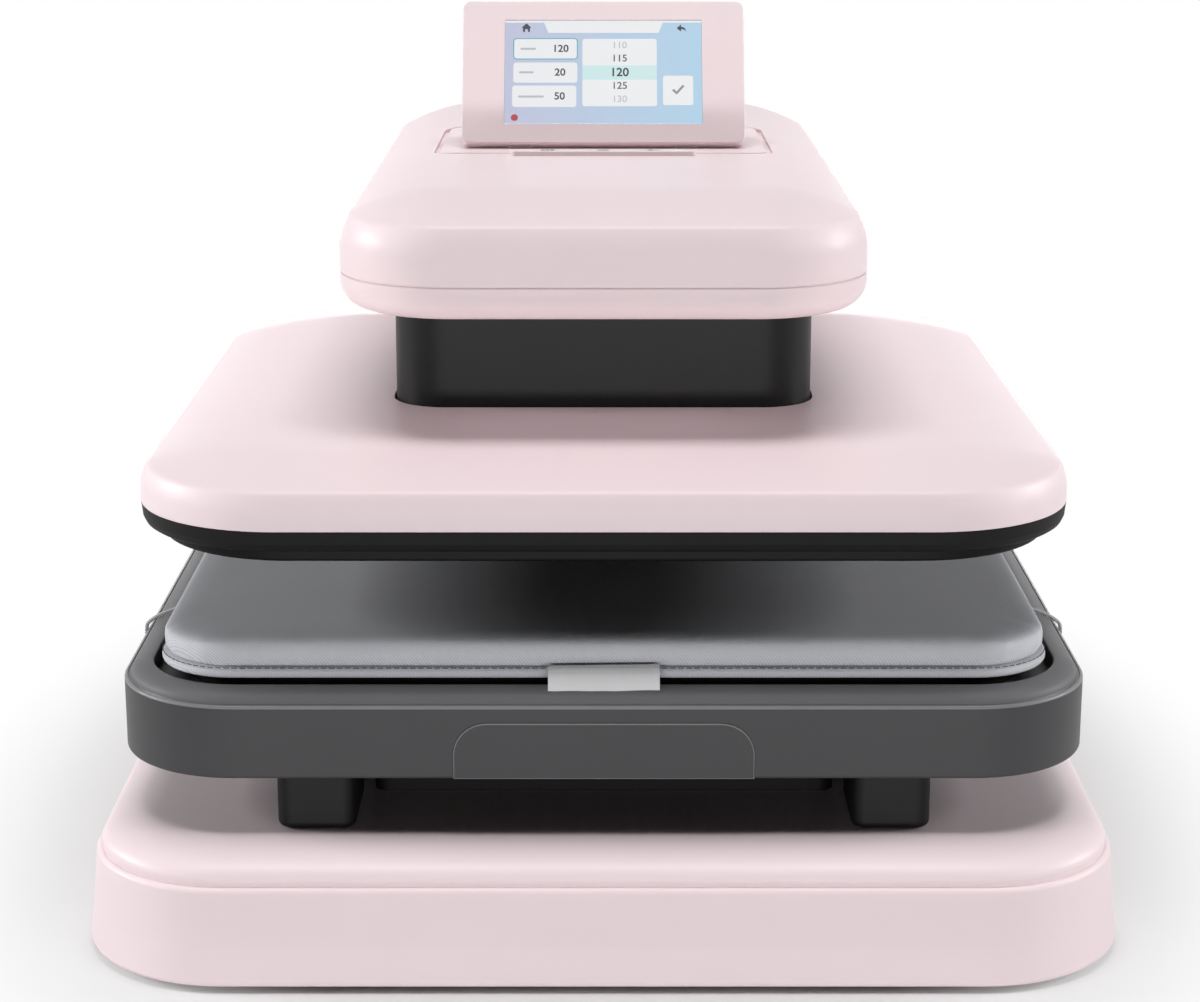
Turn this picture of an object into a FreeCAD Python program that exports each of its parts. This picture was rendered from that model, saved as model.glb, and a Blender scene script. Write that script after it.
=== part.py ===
import FreeCAD, Part
import Sketcher
import math
import os

os.makedirs("parts", exist_ok=True)

# Automatic drawer heat press, at rest with the drawer in, the platen up and the screen raised.
# X runs to the right, Y to the back and Z up, with the origin under the middle of the base.
# Lengths are millimetres and angles are degrees.
sizes = {
    # Fits
    "gap": 0.3,
    "runningFit": 0.05,
    "edgeRound": 1.5,
    "softRound": 3,
    "slotWidth": 4.5,
    "slotPitch": 12,
    # Base
    "sideMargin": 11,
    "frontMargin": 30,
    "rearMargin": 24,
    "baseRadius": 60,
    "footHeight": 2,
    "footRadius": 14,
    "footInset": 45,
    "lipDrop": 12,
    "baseTop": 56,
    "lipStep": 3.2,
    "baseFlare": 4,
    "shoulderStart": 1.2,
    "shoulderRise": 2.5,
    "shoulderInset": 24,
    "baseWall": 3,
    "basePlateThickness": 1.5,
    "beamWidth": 30,
    "beamWall": 2,
    "beamDrop": 10,
    "beamSetback": 12,
    "crossHeight": 28,
    "crossDepth": 24,
    "crossInset": 62,
    "crossTail": 122,
    "ventSetback": 56,
    "ventX": 70,
    "ventHalf": 20,
    "screwInward": 30,
    "screwOutward": 3,
    "screwInset": 20,
    "screwHeadRadius": 3.6,
    "screwHeadHeight": 1.4,
    "screwHeadRound": 0.5,
    "screwSlot": 0.8,
    # Platen, which is square and shared by plate, pad and tray
    "platenSize": 380,
    "platenY": -34,
    "platenRadius": 60,
    # Drawer
    "trayMargin": 16,
    "trayRadius": 52,
    "trayLift": 24.7,
    "trayHeight": 32.3,
    "rimRise": 3,
    "rimWidth": 14,
    "trayWall": 3,
    "wellDepth": 8,
    "trayFloorThickness": 4,
    "handleWidth": 125,
    "handleHeight": 24.5,
    "handleRadius": 14,
    "handleProud": 0.7,
    "handleLip": 16,
    "lowerPlatenThickness": 10,
    "lowerPlatenInset": 5,
    "padHeight": 17,
    "padCrown": 0.9,
    "padRadius": 34,
    "padEdge": 4.6,
    "padRound": 6,
    "padReach": 7,
    "seamDepth": 1.9,
    "tagWidth": 48,
    "tagThickness": 0.6,
    "elasticRadius": 1.1,
    "elasticY": 96,
    "elasticDrop": 13,
    "blockWidth": 33,
    "blockLength": 46,
    "blockSetback": 5,
    "blockSpacing": 241,
    "railHeight": 20,
    "railWall": 1.4,
    "railLength": 350,
    "railDepth": 11,
    "housingWidth": 200,
    "housingHeight": 22,
    "housingSetback": 21,
    # Upper platen
    "pressGap": 33.8,
    "plateThickness": 10,
    "elementRadius": 3,
    "elementPitch": 60,
    "elementRun": 230,
    "insulationThickness": 3,
    "insulationInset": 14,
    "frameSetback": 7,
    "frameHeight": 9,
    "frameInset": 3.5,
    "frameRound": 1.2,
    "coverSideMargin": 8,
    "coverEndMargin": 13,
    "coverRadius": 64,
    "coverRearRadius": 76,
    "coverSide": 5,
    "coverShoulder": 11,
    "coverLean": 3,
    "coverCrown": 56,
    "coverRise": 7.5,
    "coverWall": 2.5,
    "carriageGap": 0.7,
    "carriageThickness": 4,
    "carriageWidth": 300,
    "carriageDepth": 260,
    "carriageEnd": 70,
    "standoffRadius": 5,
    "standoffX": 120,
    "standoffY": 90,
    "neckWidth": 190,
    "neckDepth": 148,
    "neckRadius": 24,
    "neckWall": 2.5,
    "neckGap": 1.2,
    "neckDrop": 13.5,
    # Head and arm
    "headWidth": 230,
    "headReach": 145,
    "headTail": 16,
    "headRadius": 50,
    "headRearRadius": 62,
    "headGap": 51.5,
    "headBelly": 12,
    "headTray": 15,
    "headSide": 12,
    "headShoulder": 13,
    "headLean": 4,
    "headCrown": 42,
    "headRise": 12,
    "headWall": 2.5,
    "seamGap": 0.6,
    "armLift": 9,
    "armThickness": 4,
    "armWidth": 110,
    "armReach": 66,
    "armWallHeight": 24,
    "armWall": 3,
    "bushPlateThickness": 6,
    "bushPlateSide": 7,
    "bushPlateEnd": 9.5,
    "rodRadius": 6,
    "rodSideInset": 15.5,
    "rodEndInset": 12,
    "bushRadius": 11,
    "bushLength": 24,
    "bushFlange": 15,
    "screwRadius": 6,
    "screwGap": 10,
    "bearingRadius": 15,
    "bearingHeight": 6,
    "blockRadius": 25,
    "pulleyLift": 12,
    "pulleyHeight": 11,
    "pulleyFlange": 1,
    "screwPulleyRadius": 20,
    "motorPulleyRadius": 12,
    "flangeReach": 2,
    "beltThickness": 1.6,
    "motorGap": 0.5,
    "motorRadius": 24,
    "motorLength": 92,
    "gearboxRadius": 25.5,
    "gearboxLength": 34,
    "shaftRadius": 5,
    "towerRadius": 22,
    "nutRadius": 13,
    "nutDrop": 18,
    "nutFlange": 6,
    "nutLength": 24,
    # Column
    "columnWidth": 200,
    "columnGap": 2,
    "columnDepth": 72,
    "columnRadius": 20,
    "columnWall": 3,
    "steelWidth": 176,
    "steelDepth": 58,
    "steelWall": 4,
    "steelGap": 8,
    "footPlate": 6,
    "windowEdge": 8,
    "panelRadius": 6,
    "panelWidth": 164,
    "panelLift": 16,
    "panelHeight": 172,
    "panelThickness": 3,
    "inletX": -45,
    "inletLift": 26,
    "inletWidth": 27,
    "inletHeight": 20,
    "inletDepth": 22,
    "switchX": 40,
    "switchWidth": 21,
    "switchHeight": 15,
    "switchDepth": 20,
    "switchThrow": 8,
    "switchWall": 1.5,
    "switchRim": 2,
    "pivotRadius": 1,
    "pivotReach": 1.4,
    "fanLift": 123,
    "fanSize": 70,
    "fanThickness": 7,
    "fanBladeRadius": 31,
    "fanHubRadius": 13,
    "fanBlades": 7,
    # Screen
    "screenWidth": 136.5,
    "screenHeight": 74.5,
    "screenThickness": 8.5,
    "screenRadius": 4,
    "screenLean": 30,
    "hingeSetback": 181,
    "grooveWidth": 3,
    "grooveDepth": 2.6,
    "grooveSpan": 162,
    "grooveAhead": 23.5,
    "grooveBehind": 92,
    "grooveRadius": 13,
    "glassWidth": 95.5,
    "glassHeight": 54.5,
    "glassThickness": 1.1,
    "lcdThickness": 2.6,
    "lcdMargin": 4,
    "backThickness": 2.5,
    "pinRadius": 0.9,
    "pinLength": 24,
    "lugWidth": 10,
    "lugSpacing": 80,
    "lugRadius": 1.75,
    "keyWidth": 87,
    "keyDepth": 7.5,
    "keyGap": 2,
    "keyProud": 2.4,
    "keySeat": 1,
    # Parts inside the base
    "supplyWidth": 110,
    "supplyLength": 160,
    "supplyHeight": 34,
    "supplySetback": 94,
    "slotInset": 14,
    "slotStart": 18,
    "boardWidth": 150,
    "boardLength": 80,
    "boardThickness": 1.6,
    "boardSpacing": 12,
    "boardInset": 8,
    "boardHeight": 8,
}

document = FreeCAD.newDocument("HeatPress")
sheet = document.addObject("Spreadsheet::Sheet", "Sizes")


# A length that knows its number and the expression that gives it from the sheet.
class Size:
    def __init__(self, text, value):
        self.text = text
        self.value = value

    def __add__(self, other):
        other = asSize(other)
        return Size(f"({self.text} + {other.text})", self.value + other.value)

    def __sub__(self, other):
        other = asSize(other)
        return Size(f"({self.text} - {other.text})", self.value - other.value)

    def __mul__(self, factor):
        factor = asSize(factor)
        return Size(f"({self.text} * {factor.text})", self.value * factor.value)

    def __truediv__(self, factor):
        factor = asSize(factor)
        return Size(f"({self.text} / {factor.text})", self.value / factor.value)

    def __radd__(self, other):
        return asSize(other) + self

    def __rsub__(self, other):
        return asSize(other) - self

    def __rmul__(self, other):
        return asSize(other) * self

    def __neg__(self):
        return Size(f"(0 - {self.text})", -self.value)


def asSize(number):
    return number if isinstance(number, Size) else Size(repr(float(number)), float(number))


class SheetNames:
    pass


s = SheetNames()
for row, (alias, number) in enumerate(sizes.items(), 1):
    sheet.set(f"A{row}", alias)
    sheet.set(f"B{row}", str(number))
    sheet.setAlias(f"B{row}", alias)
    setattr(s, alias, Size(f"Sizes.{alias}", float(number)))
document.recompute()

bodies = []


def newBody(name, x=0, y=0, z=0):
    body = document.addObject("PartDesign::Body", name)
    body.Label = name
    body.AllowCompound = True
    for axis, place in zip("xyz", (x, y, z)):
        body.setExpression(f"Placement.Base.{axis}", asSize(place).text)
    bodies.append(body)
    return body


# Turns a whole body about its own X axis, towards the back at the top.
def tip(body, angle):
    turned = FreeCAD.Rotation(FreeCAD.Vector(-1, 0, 0), asSize(angle).value)
    body.Placement = FreeCAD.Placement(body.Placement.Base, turned)
    body.setExpression("Placement.Rotation.Angle", asSize(angle).text)


def newSketch(body, plane, offset):
    sketch = body.newObject("Sketcher::SketchObject", body.Name + "_sketch")
    origin = next(f for f in body.Origin.OriginFeatures if f.Role == plane + "_Plane")
    sketch.AttachmentSupport = [(origin, "")]
    sketch.MapMode = "FlatFace"
    sketch.setExpression("AttachmentOffset.Base.z", asSize(offset).text)
    return sketch


def fix(sketch, kind, *items):
    size = asSize(items[-1])
    index = sketch.addConstraint(Sketcher.Constraint(kind, *items[:-1], size.value))
    sketch.setExpression(f"Constraints[{index}]", size.text)


def fixPoint(sketch, geometry, end, x, y):
    fix(sketch, "DistanceX", -1, 1, geometry, end, x)
    fix(sketch, "DistanceY", -1, 1, geometry, end, y)


def vector(x, y):
    return FreeCAD.Vector(asSize(x).value, asSize(y).value, 0)


def drawPolygon(sketch, points):
    first = sketch.GeometryCount
    count = len(points)
    for index in range(count):
        line = Part.LineSegment(vector(*points[index]), vector(*points[(index + 1) % count]))
        sketch.addGeometry(line, False)
    for index in range(count):
        following = first + (index + 1) % count
        sketch.addConstraint(Sketcher.Constraint("Coincident", first + index, 2, following, 1))
        fixPoint(sketch, first + index, 1, *points[index])


def drawBox(sketch, left, right, front, rear):
    drawPolygon(sketch, [(left, front), (right, front), (right, rear), (left, rear)])


def drawCircle(sketch, x, y, radius):
    index = sketch.addGeometry(Part.Circle(vector(x, y), FreeCAD.Vector(0, 0, 1), asSize(radius).value), False)
    fixPoint(sketch, index, 3, x, y)
    fix(sketch, "Radius", index, radius)


# A rectangle with round corners, each an arc that its two sides run into. The rear ones may be rounder.
def drawRounded(sketch, left, right, front, rear, radius, rearRadius=None):
    left, right, front, rear, radius = (asSize(v) for v in (left, right, front, rear, radius))
    rearRadius = radius if rearRadius is None else asSize(rearRadius)
    radii = [radius, radius, rearRadius, rearRadius]
    corners = [(left, front), (right, front), (right, rear), (left, rear)]
    inward = [(1, 1), (-1, 1), (-1, -1), (1, -1)]
    starts = [(0, 1), (1, 0), (0, -1), (-1, 0)]
    first = sketch.GeometryCount
    for index in range(4):
        other = (index + 1) % 4
        (x0, y0), (x1, y1) = corners[index], corners[other]
        alongX, alongY = [(1, 0), (0, 1), (-1, 0), (0, -1)][index]
        begin = vector(x0 + alongX * radii[index], y0 + alongY * radii[index])
        finish = vector(x1 - alongX * radii[other], y1 - alongY * radii[other])
        sketch.addGeometry(Part.LineSegment(begin, finish), False)
    for index in range(4):
        x, y = corners[index]
        signX, signY = inward[index]
        corner = radii[index]
        centre = vector(x + signX * corner, y + signY * corner)
        startAngle = math.pi + index * math.pi / 2
        circle = Part.Circle(centre, FreeCAD.Vector(0, 0, 1), corner.value)
        sketch.addGeometry(Part.ArcOfCircle(circle, startAngle, startAngle + math.pi / 2), False)
    for index in range(4):
        line = first + index
        arc = first + 4 + index
        previous = first + (index - 1) % 4
        sketch.addConstraint(Sketcher.Constraint("Tangent", arc, 2, line, 1))
        sketch.addConstraint(Sketcher.Constraint("Tangent", arc, 1, previous, 2))
        sketch.addConstraint(Sketcher.Constraint("Horizontal" if index % 2 == 0 else "Vertical", line))
    fix(sketch, "Radius", first + 4, radius)
    fix(sketch, "Radius", first + 6, rearRadius)
    for arc in (first + 4, first + 6):
        sketch.addConstraint(Sketcher.Constraint("Equal", arc, arc + 1))
    fix(sketch, "DistanceY", -1, 1, first, 1, front)
    fix(sketch, "DistanceX", -1, 1, first + 1, 1, right)
    fix(sketch, "DistanceY", -1, 1, first + 2, 1, rear)
    fix(sketch, "DistanceX", -1, 1, first + 3, 1, left)


def extrude(body, sketch, length, kind="Pad", reverse=False, both=False, taper=0):
    feature = body.newObject("PartDesign::" + kind, body.Name + "_" + kind)
    feature.Profile = sketch
    feature.setExpression("Length", asSize(length).text)
    feature.Reversed = reverse
    feature.TaperAngle = taper
    if both:
        feature.SideType = "Symmetric"
    return feature


def loft(body, sections, kind, ruled):
    feature = body.newObject("PartDesign::" + kind, body.Name + "_" + kind)
    feature.Profile = sections[0]
    feature.Sections = sections[1:]
    feature.Ruled = ruled
    return feature


def roundEdges(body, radius, chosen, kind="Fillet"):
    document.recompute()
    base = body.Tip
    edges = [f"Edge{i}" for i, edge in enumerate(base.Shape.Edges, 1) if chosen(edge)]
    feature = body.newObject("PartDesign::" + kind, body.Name + "_" + kind)
    feature.Base = (base, edges)
    feature.setExpression("Radius" if kind == "Fillet" else "Size", asSize(radius).text)
    return feature


def turn(body, sketch, kind="Revolution"):
    feature = body.newObject("PartDesign::" + kind, body.Name + "_" + kind)
    feature.Profile = sketch
    feature.ReferenceAxis = (sketch, ["V_Axis"])
    feature.Angle = 360
    return feature


def rowCopies(body, feature, sketch, axis, pitch, count):
    pattern = body.newObject("PartDesign::LinearPattern", body.Name + "_pattern")
    pattern.Originals = [feature]
    pattern.Direction = (sketch, [axis])
    pattern.Mode = "Spacing"
    pattern.setExpression("Offset", asSize(pitch).text)
    pattern.Occurrences = count
    body.Tip = pattern
    return pattern


def polarCopies(body, feature, sketch, count):
    pattern = body.newObject("PartDesign::PolarPattern", body.Name + "_pattern")
    pattern.Originals = [feature]
    pattern.Axis = (sketch, ["N_Axis"])
    pattern.Angle = 360
    pattern.setExpression("Occurrences", asSize(count).text)
    body.Tip = pattern
    return pattern


# Choosers for the edges that are rounded
def level(z):
    height = asSize(z).value
    return lambda edge: all(abs(v.Point.z - height) < 0.01 for v in edge.Vertexes)


def upright(edge):
    return edge.BoundBox.ZLength > 1 and edge.BoundBox.XLength < 0.01 and edge.BoundBox.YLength < 0.01


# A straight block with square or round corners, between two heights.
def block(body, left, right, front, rear, bottom, top, radius=None, kind="Pad", rearRadius=None):
    sketch = newSketch(body, "XY", bottom)
    if radius is None:
        drawBox(sketch, left, right, front, rear)
    else:
        drawRounded(sketch, left, right, front, rear, radius, rearRadius)
    return extrude(body, sketch, top - asSize(bottom), kind, reverse=(kind == "Pocket"))


def discs(body, places, radius, bottom, top, kind="Pad"):
    sketch = newSketch(body, "XY", bottom)
    for x, y in places:
        drawCircle(sketch, x, y, radius)
    return extrude(body, sketch, top - asSize(bottom), kind, reverse=(kind == "Pocket"))


def ring(body, places, outer, inner, bottom, top):
    sketch = newSketch(body, "XY", bottom)
    for x, y in places:
        drawCircle(sketch, x, y, outer)
        drawCircle(sketch, x, y, inner)
    return extrude(body, sketch, top - asSize(bottom))


# A stack of rounded rectangles, each given as a height and the distance that it is drawn in.
def stack(body, half, front, rear, radius, levels, kind="AdditiveLoft", ruled=True, rearRadius=None):
    sections = []
    for height, inset in levels:
        sketch = newSketch(body, "XY", height)
        inset = asSize(inset)
        corner = asSize(radius) - inset
        rearCorner = corner if rearRadius is None else asSize(rearRadius) - inset
        drawRounded(sketch, inset - half, half - inset, front + inset, rear - inset, corner, rearCorner)
        sections.append(sketch)
    return loft(body, sections, kind, ruled)


# Heights and insets of a shoulder that starts upright and ends level, as a quarter of an ellipse does.
def shoulderLevels(inset, reach, bottom, top, steps=5):
    levels = []
    for step in range(steps):
        angle = math.pi / 2 * step / (steps - 1)
        height = bottom + (top - bottom) * math.sin(angle)
        levels.append((height, asSize(inset) + (asSize(reach) - inset) * (1 - math.cos(angle))))
    return levels


# Levels that round a side into the level face above or below it. The first one is on that face.
def edgeLevels(inset, radius, face, way, steps=3):
    angles = [math.pi / 2 * step / steps for step in range(steps + 1)]
    return [(face + way * radius * (1 - math.cos(angle)), asSize(inset) + radius * (1 - math.sin(angle)))
            for angle in angles]


# Levels of a side that starts upright and leans in to a crease, and of the low crown above the crease.
def leanLevels(lean, wide, crease, steps=3):
    shares = [step / steps for step in range(steps + 1)]
    return [(wide + (crease - wide) * share, asSize(lean) * share ** 2) for share in shares]


def crownLevels(lean, reach, crease, top, steps=5):
    shares = [step / steps for step in range(steps + 1)]
    return [(crease + (top - crease) * (2 * share - share ** 2), asSize(lean) + asSize(reach) * share)
            for share in shares]


def mirrored(x, y):
    return [(x, y), (-x, y)]


def fourPlaces(x, y, middle=0):
    return [(signX * x, middle + signY * y) for signX in (1, -1) for signY in (1, -1)]


# Places that several pieces share
platenHalf = s.platenSize / 2
platenFront = s.platenY - platenHalf
platenRear = s.platenY + platenHalf
trayHalf = platenHalf + s.trayMargin
baseHalf = trayHalf + s.sideMargin
trayFront = platenFront - s.trayMargin
trayRear = platenRear + s.trayMargin
columnFront = trayRear + s.columnGap
columnRear = columnFront + s.columnDepth
baseFront = trayFront - s.frontMargin
baseRear = columnRear + s.rearMargin
baseMiddle = (baseFront + baseRear) / 2
baseReach = (baseRear - baseFront) / 2
coverHalf = platenHalf + s.coverSideMargin
coverFront = platenFront - s.coverEndMargin
coverRear = platenRear + s.coverEndMargin
neckHalf = s.neckWidth / 2
neckFront = s.platenY - s.neckDepth / 2
neckRear = s.platenY + s.neckDepth / 2
headHalf = s.headWidth / 2
headFront = s.platenY - s.headReach
headRear = columnRear + s.headTail
steelHalf = s.steelWidth / 2
steelFront = columnFront + s.steelGap
steelRear = steelFront + s.steelDepth
motorY = steelFront + s.gearboxRadius + s.motorGap
armFront = s.platenY - s.armReach

# Heights, each from the piece below it
lipHeight = s.baseTop - s.lipDrop
beamTop = s.baseTop - s.beamDrop
trayBottom = s.baseTop + s.trayLift
trayEdge = trayBottom + s.trayHeight
trayRim = trayEdge + s.rimRise
wellFloor = trayRim - s.wellDepth
trayFloor = wellFloor - s.trayFloorThickness
padBottom = wellFloor + s.lowerPlatenThickness + s.gap
padTop = padBottom + s.padHeight
plateBottom = padTop + s.padCrown + s.pressGap
plateTop = plateBottom + s.plateThickness
elementTop = plateTop + 2 * s.elementRadius
frameBottom = plateBottom + s.frameSetback
frameTop = frameBottom + s.frameHeight
coverWide = frameTop + s.coverSide
coverCrease = coverWide + s.coverShoulder
coverTop = coverCrease + s.coverRise
insulationBottom = elementTop + s.gap
carriageBottom = insulationBottom + s.insulationThickness + s.carriageGap
carriageTop = carriageBottom + s.carriageThickness
headBottom = coverTop + s.headGap
headSeam = headBottom + s.headTray
headWide = headSeam + s.headSide
headCrease = headWide + s.headShoulder
headTop = headCrease + s.headRise
neckTop = headTop - s.neckDrop
armBottom = headBottom + s.armLift
armFloor = armBottom + s.armThickness
pulleyBottom = armFloor + s.pulleyLift
screwBottom = carriageTop + s.screwGap
nutTop = armBottom - s.nutDrop
panelBottom = s.baseTop + s.panelLift
inletZ = panelBottom + s.inletLift
fanZ = panelBottom + s.fanLift

# Other shared places
bushHalf = neckHalf - s.neckWall - s.bushPlateSide
bushReach = s.neckDepth / 2 - s.neckWall - s.bushPlateEnd
rodPlaces = fourPlaces(bushHalf - s.rodSideInset, bushReach - s.rodEndInset, s.platenY)
standoffPlaces = fourPlaces(s.standoffX, s.standoffY, s.platenY)
railCentre = s.blockSpacing / 2
railBottom = s.baseTop + (trayBottom - s.baseTop - s.railHeight) / 2
padSeam = padBottom + s.padEdge
hingeY = headFront + s.hingeSetback
hingeZ = headTop + s.screenThickness / 2 + s.gap
grooveFront = hingeY - s.grooveAhead
grooveRear = hingeY + s.grooveBehind
keyRear = grooveFront - s.keyGap
supplyFront = baseFront + s.supplySetback
supplyRear = supplyFront + s.supplyLength
boardRear = baseRear - s.crossTail - s.crossDepth - s.boardSpacing
boardFront = boardRear - s.boardLength


def baseCover():
    body = newBody("base_cover")
    sides = edgeLevels(0 - asSize(s.baseFlare), s.softRound, s.footHeight, 1)
    sides += edgeLevels(0, s.edgeRound, lipHeight, -1)[::-1]
    stack(body, baseHalf, baseFront, baseRear, s.baseRadius, sides)
    slope = lipHeight + s.shoulderRise
    step = s.lipStep
    block(body, step - baseHalf, baseHalf - step, baseFront + step, baseRear - step,
          lipHeight - s.softRound, slope, s.baseRadius - step)
    shoulder = shoulderLevels(s.shoulderStart, s.shoulderInset, slope, s.baseTop)
    stack(body, baseHalf, baseFront, baseRear, s.baseRadius, shoulder, ruled=False)
    low = s.baseWall + 0.5
    high = s.shoulderInset + s.baseWall
    ceiling = s.baseTop - s.baseWall
    for inset, bottom, top in ((low, s.footHeight, lipHeight - s.baseWall), (high, s.footHeight, ceiling)):
        block(body, inset - baseHalf, baseHalf - inset, baseFront + inset, baseRear - inset,
              bottom, top, s.baseRadius - low, "Pocket")
    edge = s.gap * 4
    block(body, -steelHalf - edge, steelHalf + edge, steelFront - edge, steelRear + edge,
          lipHeight, s.baseTop + 1, None, "Pocket")


def basePlate():
    body = newBody("base_plate")
    inset = s.baseWall + 1
    top = s.footHeight + s.basePlateThickness
    block(body, inset - baseHalf, baseHalf - inset, baseFront + inset, baseRear - inset,
          s.footHeight, top, s.baseRadius - inset)
    for side in (-1, 1):
        slot = newSketch(body, "XY", s.footHeight)
        low = supplyFront + s.ventSetback
        drawBox(slot, side * s.ventX - s.ventHalf, side * s.ventX + s.ventHalf, low, low + s.slotWidth)
        cut = extrude(body, slot, s.basePlateThickness, "Pocket", reverse=True)
        rowCopies(body, cut, slot, "V_Axis", s.slotPitch, 8)


def rubberFeet():
    body = newBody("rubber_feet")
    x = baseHalf - s.footInset
    discs(body, fourPlaces(x, baseReach - s.footInset, baseMiddle), s.footRadius, 0, s.footHeight)


def baseScrews():
    body = newBody("base_screws")
    x = baseHalf - s.footInset
    places = fourPlaces(x - s.screwInward, baseReach - s.screwInset, baseMiddle)
    places += mirrored(baseHalf - s.screwInset + s.screwOutward, baseMiddle)
    low = s.footHeight - s.screwHeadHeight
    discs(body, places, s.screwHeadRadius, low, s.footHeight)
    roundEdges(body, s.screwHeadRound, level(low))
    sketch = newSketch(body, "XY", low)
    slotHalf = s.screwSlot / 2
    reach = s.screwHeadRadius * 0.55
    for x, y in places:
        drawBox(sketch, x - reach, x + reach, y - slotHalf, y + slotHalf)
    extrude(body, sketch, s.screwSlot, "Pocket", reverse=True)


def chassisFrame():
    body = newBody("chassis_frame")
    bottom = s.footHeight + s.basePlateThickness
    inset = s.shoulderInset + s.beamSetback
    for side in (-1, 1):
        centre = side * railCentre
        half = s.beamWidth / 2
        sketch = newSketch(body, "XZ", inset - baseRear)
        drawBox(sketch, centre - half, centre + half, bottom, beamTop)
        drawBox(sketch, centre - half + s.beamWall, centre + half - s.beamWall,
                bottom + s.beamWall, beamTop - s.beamWall)
        extrude(body, sketch, 2 * (baseReach - inset))
    inner = railCentre - s.beamWidth / 2
    for y in (baseFront + s.crossInset, baseRear - s.crossTail):
        block(body, -inner, inner, y - s.crossDepth, y, bottom, bottom + s.crossHeight)


def columnFrame():
    body = newBody("column_frame")
    foot = beamTop + s.footPlate
    reach = railCentre + s.beamWidth / 2
    block(body, -reach, reach, steelFront - s.steelWall, steelRear + s.steelWall / 2, beamTop, foot)
    sketch = newSketch(body, "XY", foot)
    left, right = -steelHalf, steelHalf
    wall = s.steelWall
    drawPolygon(sketch, [(left, steelFront), (left + wall, steelFront), (left + wall, steelRear - wall),
                         (right - wall, steelRear - wall), (right - wall, steelFront), (right, steelFront),
                         (right, steelRear), (left, steelRear)])
    extrude(body, sketch, armBottom - foot)
    window = newSketch(body, "XZ", -steelRear - 1)
    edge = s.windowEdge
    half = s.panelWidth / 2 - edge
    drawRounded(window, -half, half, panelBottom + edge, panelBottom + s.panelHeight - edge, s.panelRadius)
    extrude(body, window, s.steelWall + 2, "Pocket", reverse=True)


def armFrame():
    body = newBody("arm_frame")
    half = s.armWidth / 2
    block(body, -half, half, armFront, steelRear, armBottom, armFloor)
    block(body, -steelHalf, steelHalf, steelFront, steelRear, armBottom, armFloor)
    for side in (-1, 1):
        outer = side * half
        inner = side * (half - s.armWall)
        left, right = (outer, inner) if side < 0 else (inner, outer)
        block(body, left, right, armFront, steelRear, armFloor, armFloor + s.armWallHeight)
    discs(body, [(0, s.platenY)], s.screwRadius + 4, armBottom, armFloor, "Pocket")
    discs(body, [(0, motorY)], s.shaftRadius + 4, armBottom, armFloor, "Pocket")


def bushPlate():
    body = newBody("bush_plate")
    block(body, -bushHalf, bushHalf, s.platenY - bushReach, s.platenY + bushReach,
          armBottom - s.bushPlateThickness, armBottom, 8)
    discs(body, rodPlaces, s.bushRadius, armBottom - s.bushPlateThickness, armBottom, "Pocket")
    discs(body, [(0, s.platenY)], s.screwRadius + 6, armBottom - s.bushPlateThickness, armBottom, "Pocket")


def guideBushes():
    body = newBody("guide_bushes")
    seat = armBottom - s.bushPlateThickness
    bore = s.rodRadius + s.runningFit
    ring(body, rodPlaces, s.bushRadius, bore, armBottom - s.bushLength, armBottom)
    ring(body, rodPlaces, s.bushFlange, bore, seat - 3, seat)


def bearingBlock():
    body = newBody("bearing_block", 0, s.platenY, armFloor)
    height = s.bearingHeight + 4
    ring(body, [(0, 0)], s.blockRadius, s.bearingRadius, 2, height)
    ring(body, [(0, 0)], s.blockRadius, s.screwRadius + 3, 0, 2)
    roundEdges(body, 1, level(height))


def thrustBearing():
    body = newBody("thrust_bearing", 0, s.platenY, armFloor + 2)
    ring(body, [(0, 0)], s.bearingRadius, s.screwRadius + s.runningFit, 0, s.bearingHeight)


def leadScrew():
    body = newBody("lead_screw", 0, s.platenY, screwBottom)
    length = pulleyBottom + s.pulleyHeight - screwBottom
    collarBottom = armFloor + 2 + s.bearingHeight - screwBottom
    sketch = newSketch(body, "XZ", 0)
    drawPolygon(sketch, [(0, 0), (s.screwRadius - 1, 0), (s.screwRadius, 1),
                         (s.screwRadius, collarBottom), (s.screwRadius + 3, collarBottom),
                         (s.screwRadius + 3, collarBottom + 3), (s.screwRadius, collarBottom + 3),
                         (s.screwRadius, length), (0, length)])
    turn(body, sketch)


def pulley(name, y, radius, bore):
    body = newBody(name, 0, y, pulleyBottom)
    top = s.pulleyHeight - s.pulleyFlange
    ring(body, [(0, 0)], radius, bore, s.pulleyFlange, top)
    rim = radius + s.flangeReach
    ring(body, [(0, 0)], rim, bore, 0, s.pulleyFlange)
    ring(body, [(0, 0)], rim, bore, top, s.pulleyHeight)


def motorShaft():
    body = newBody("motor_shaft", 0, motorY, armBottom + 0.5)
    discs(body, [(0, 0)], s.shaftRadius, 0, pulleyBottom + s.pulleyHeight - armBottom - 0.5)
    roundEdges(body, 0.6, level(pulleyBottom + s.pulleyHeight - armBottom - 0.5))


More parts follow.
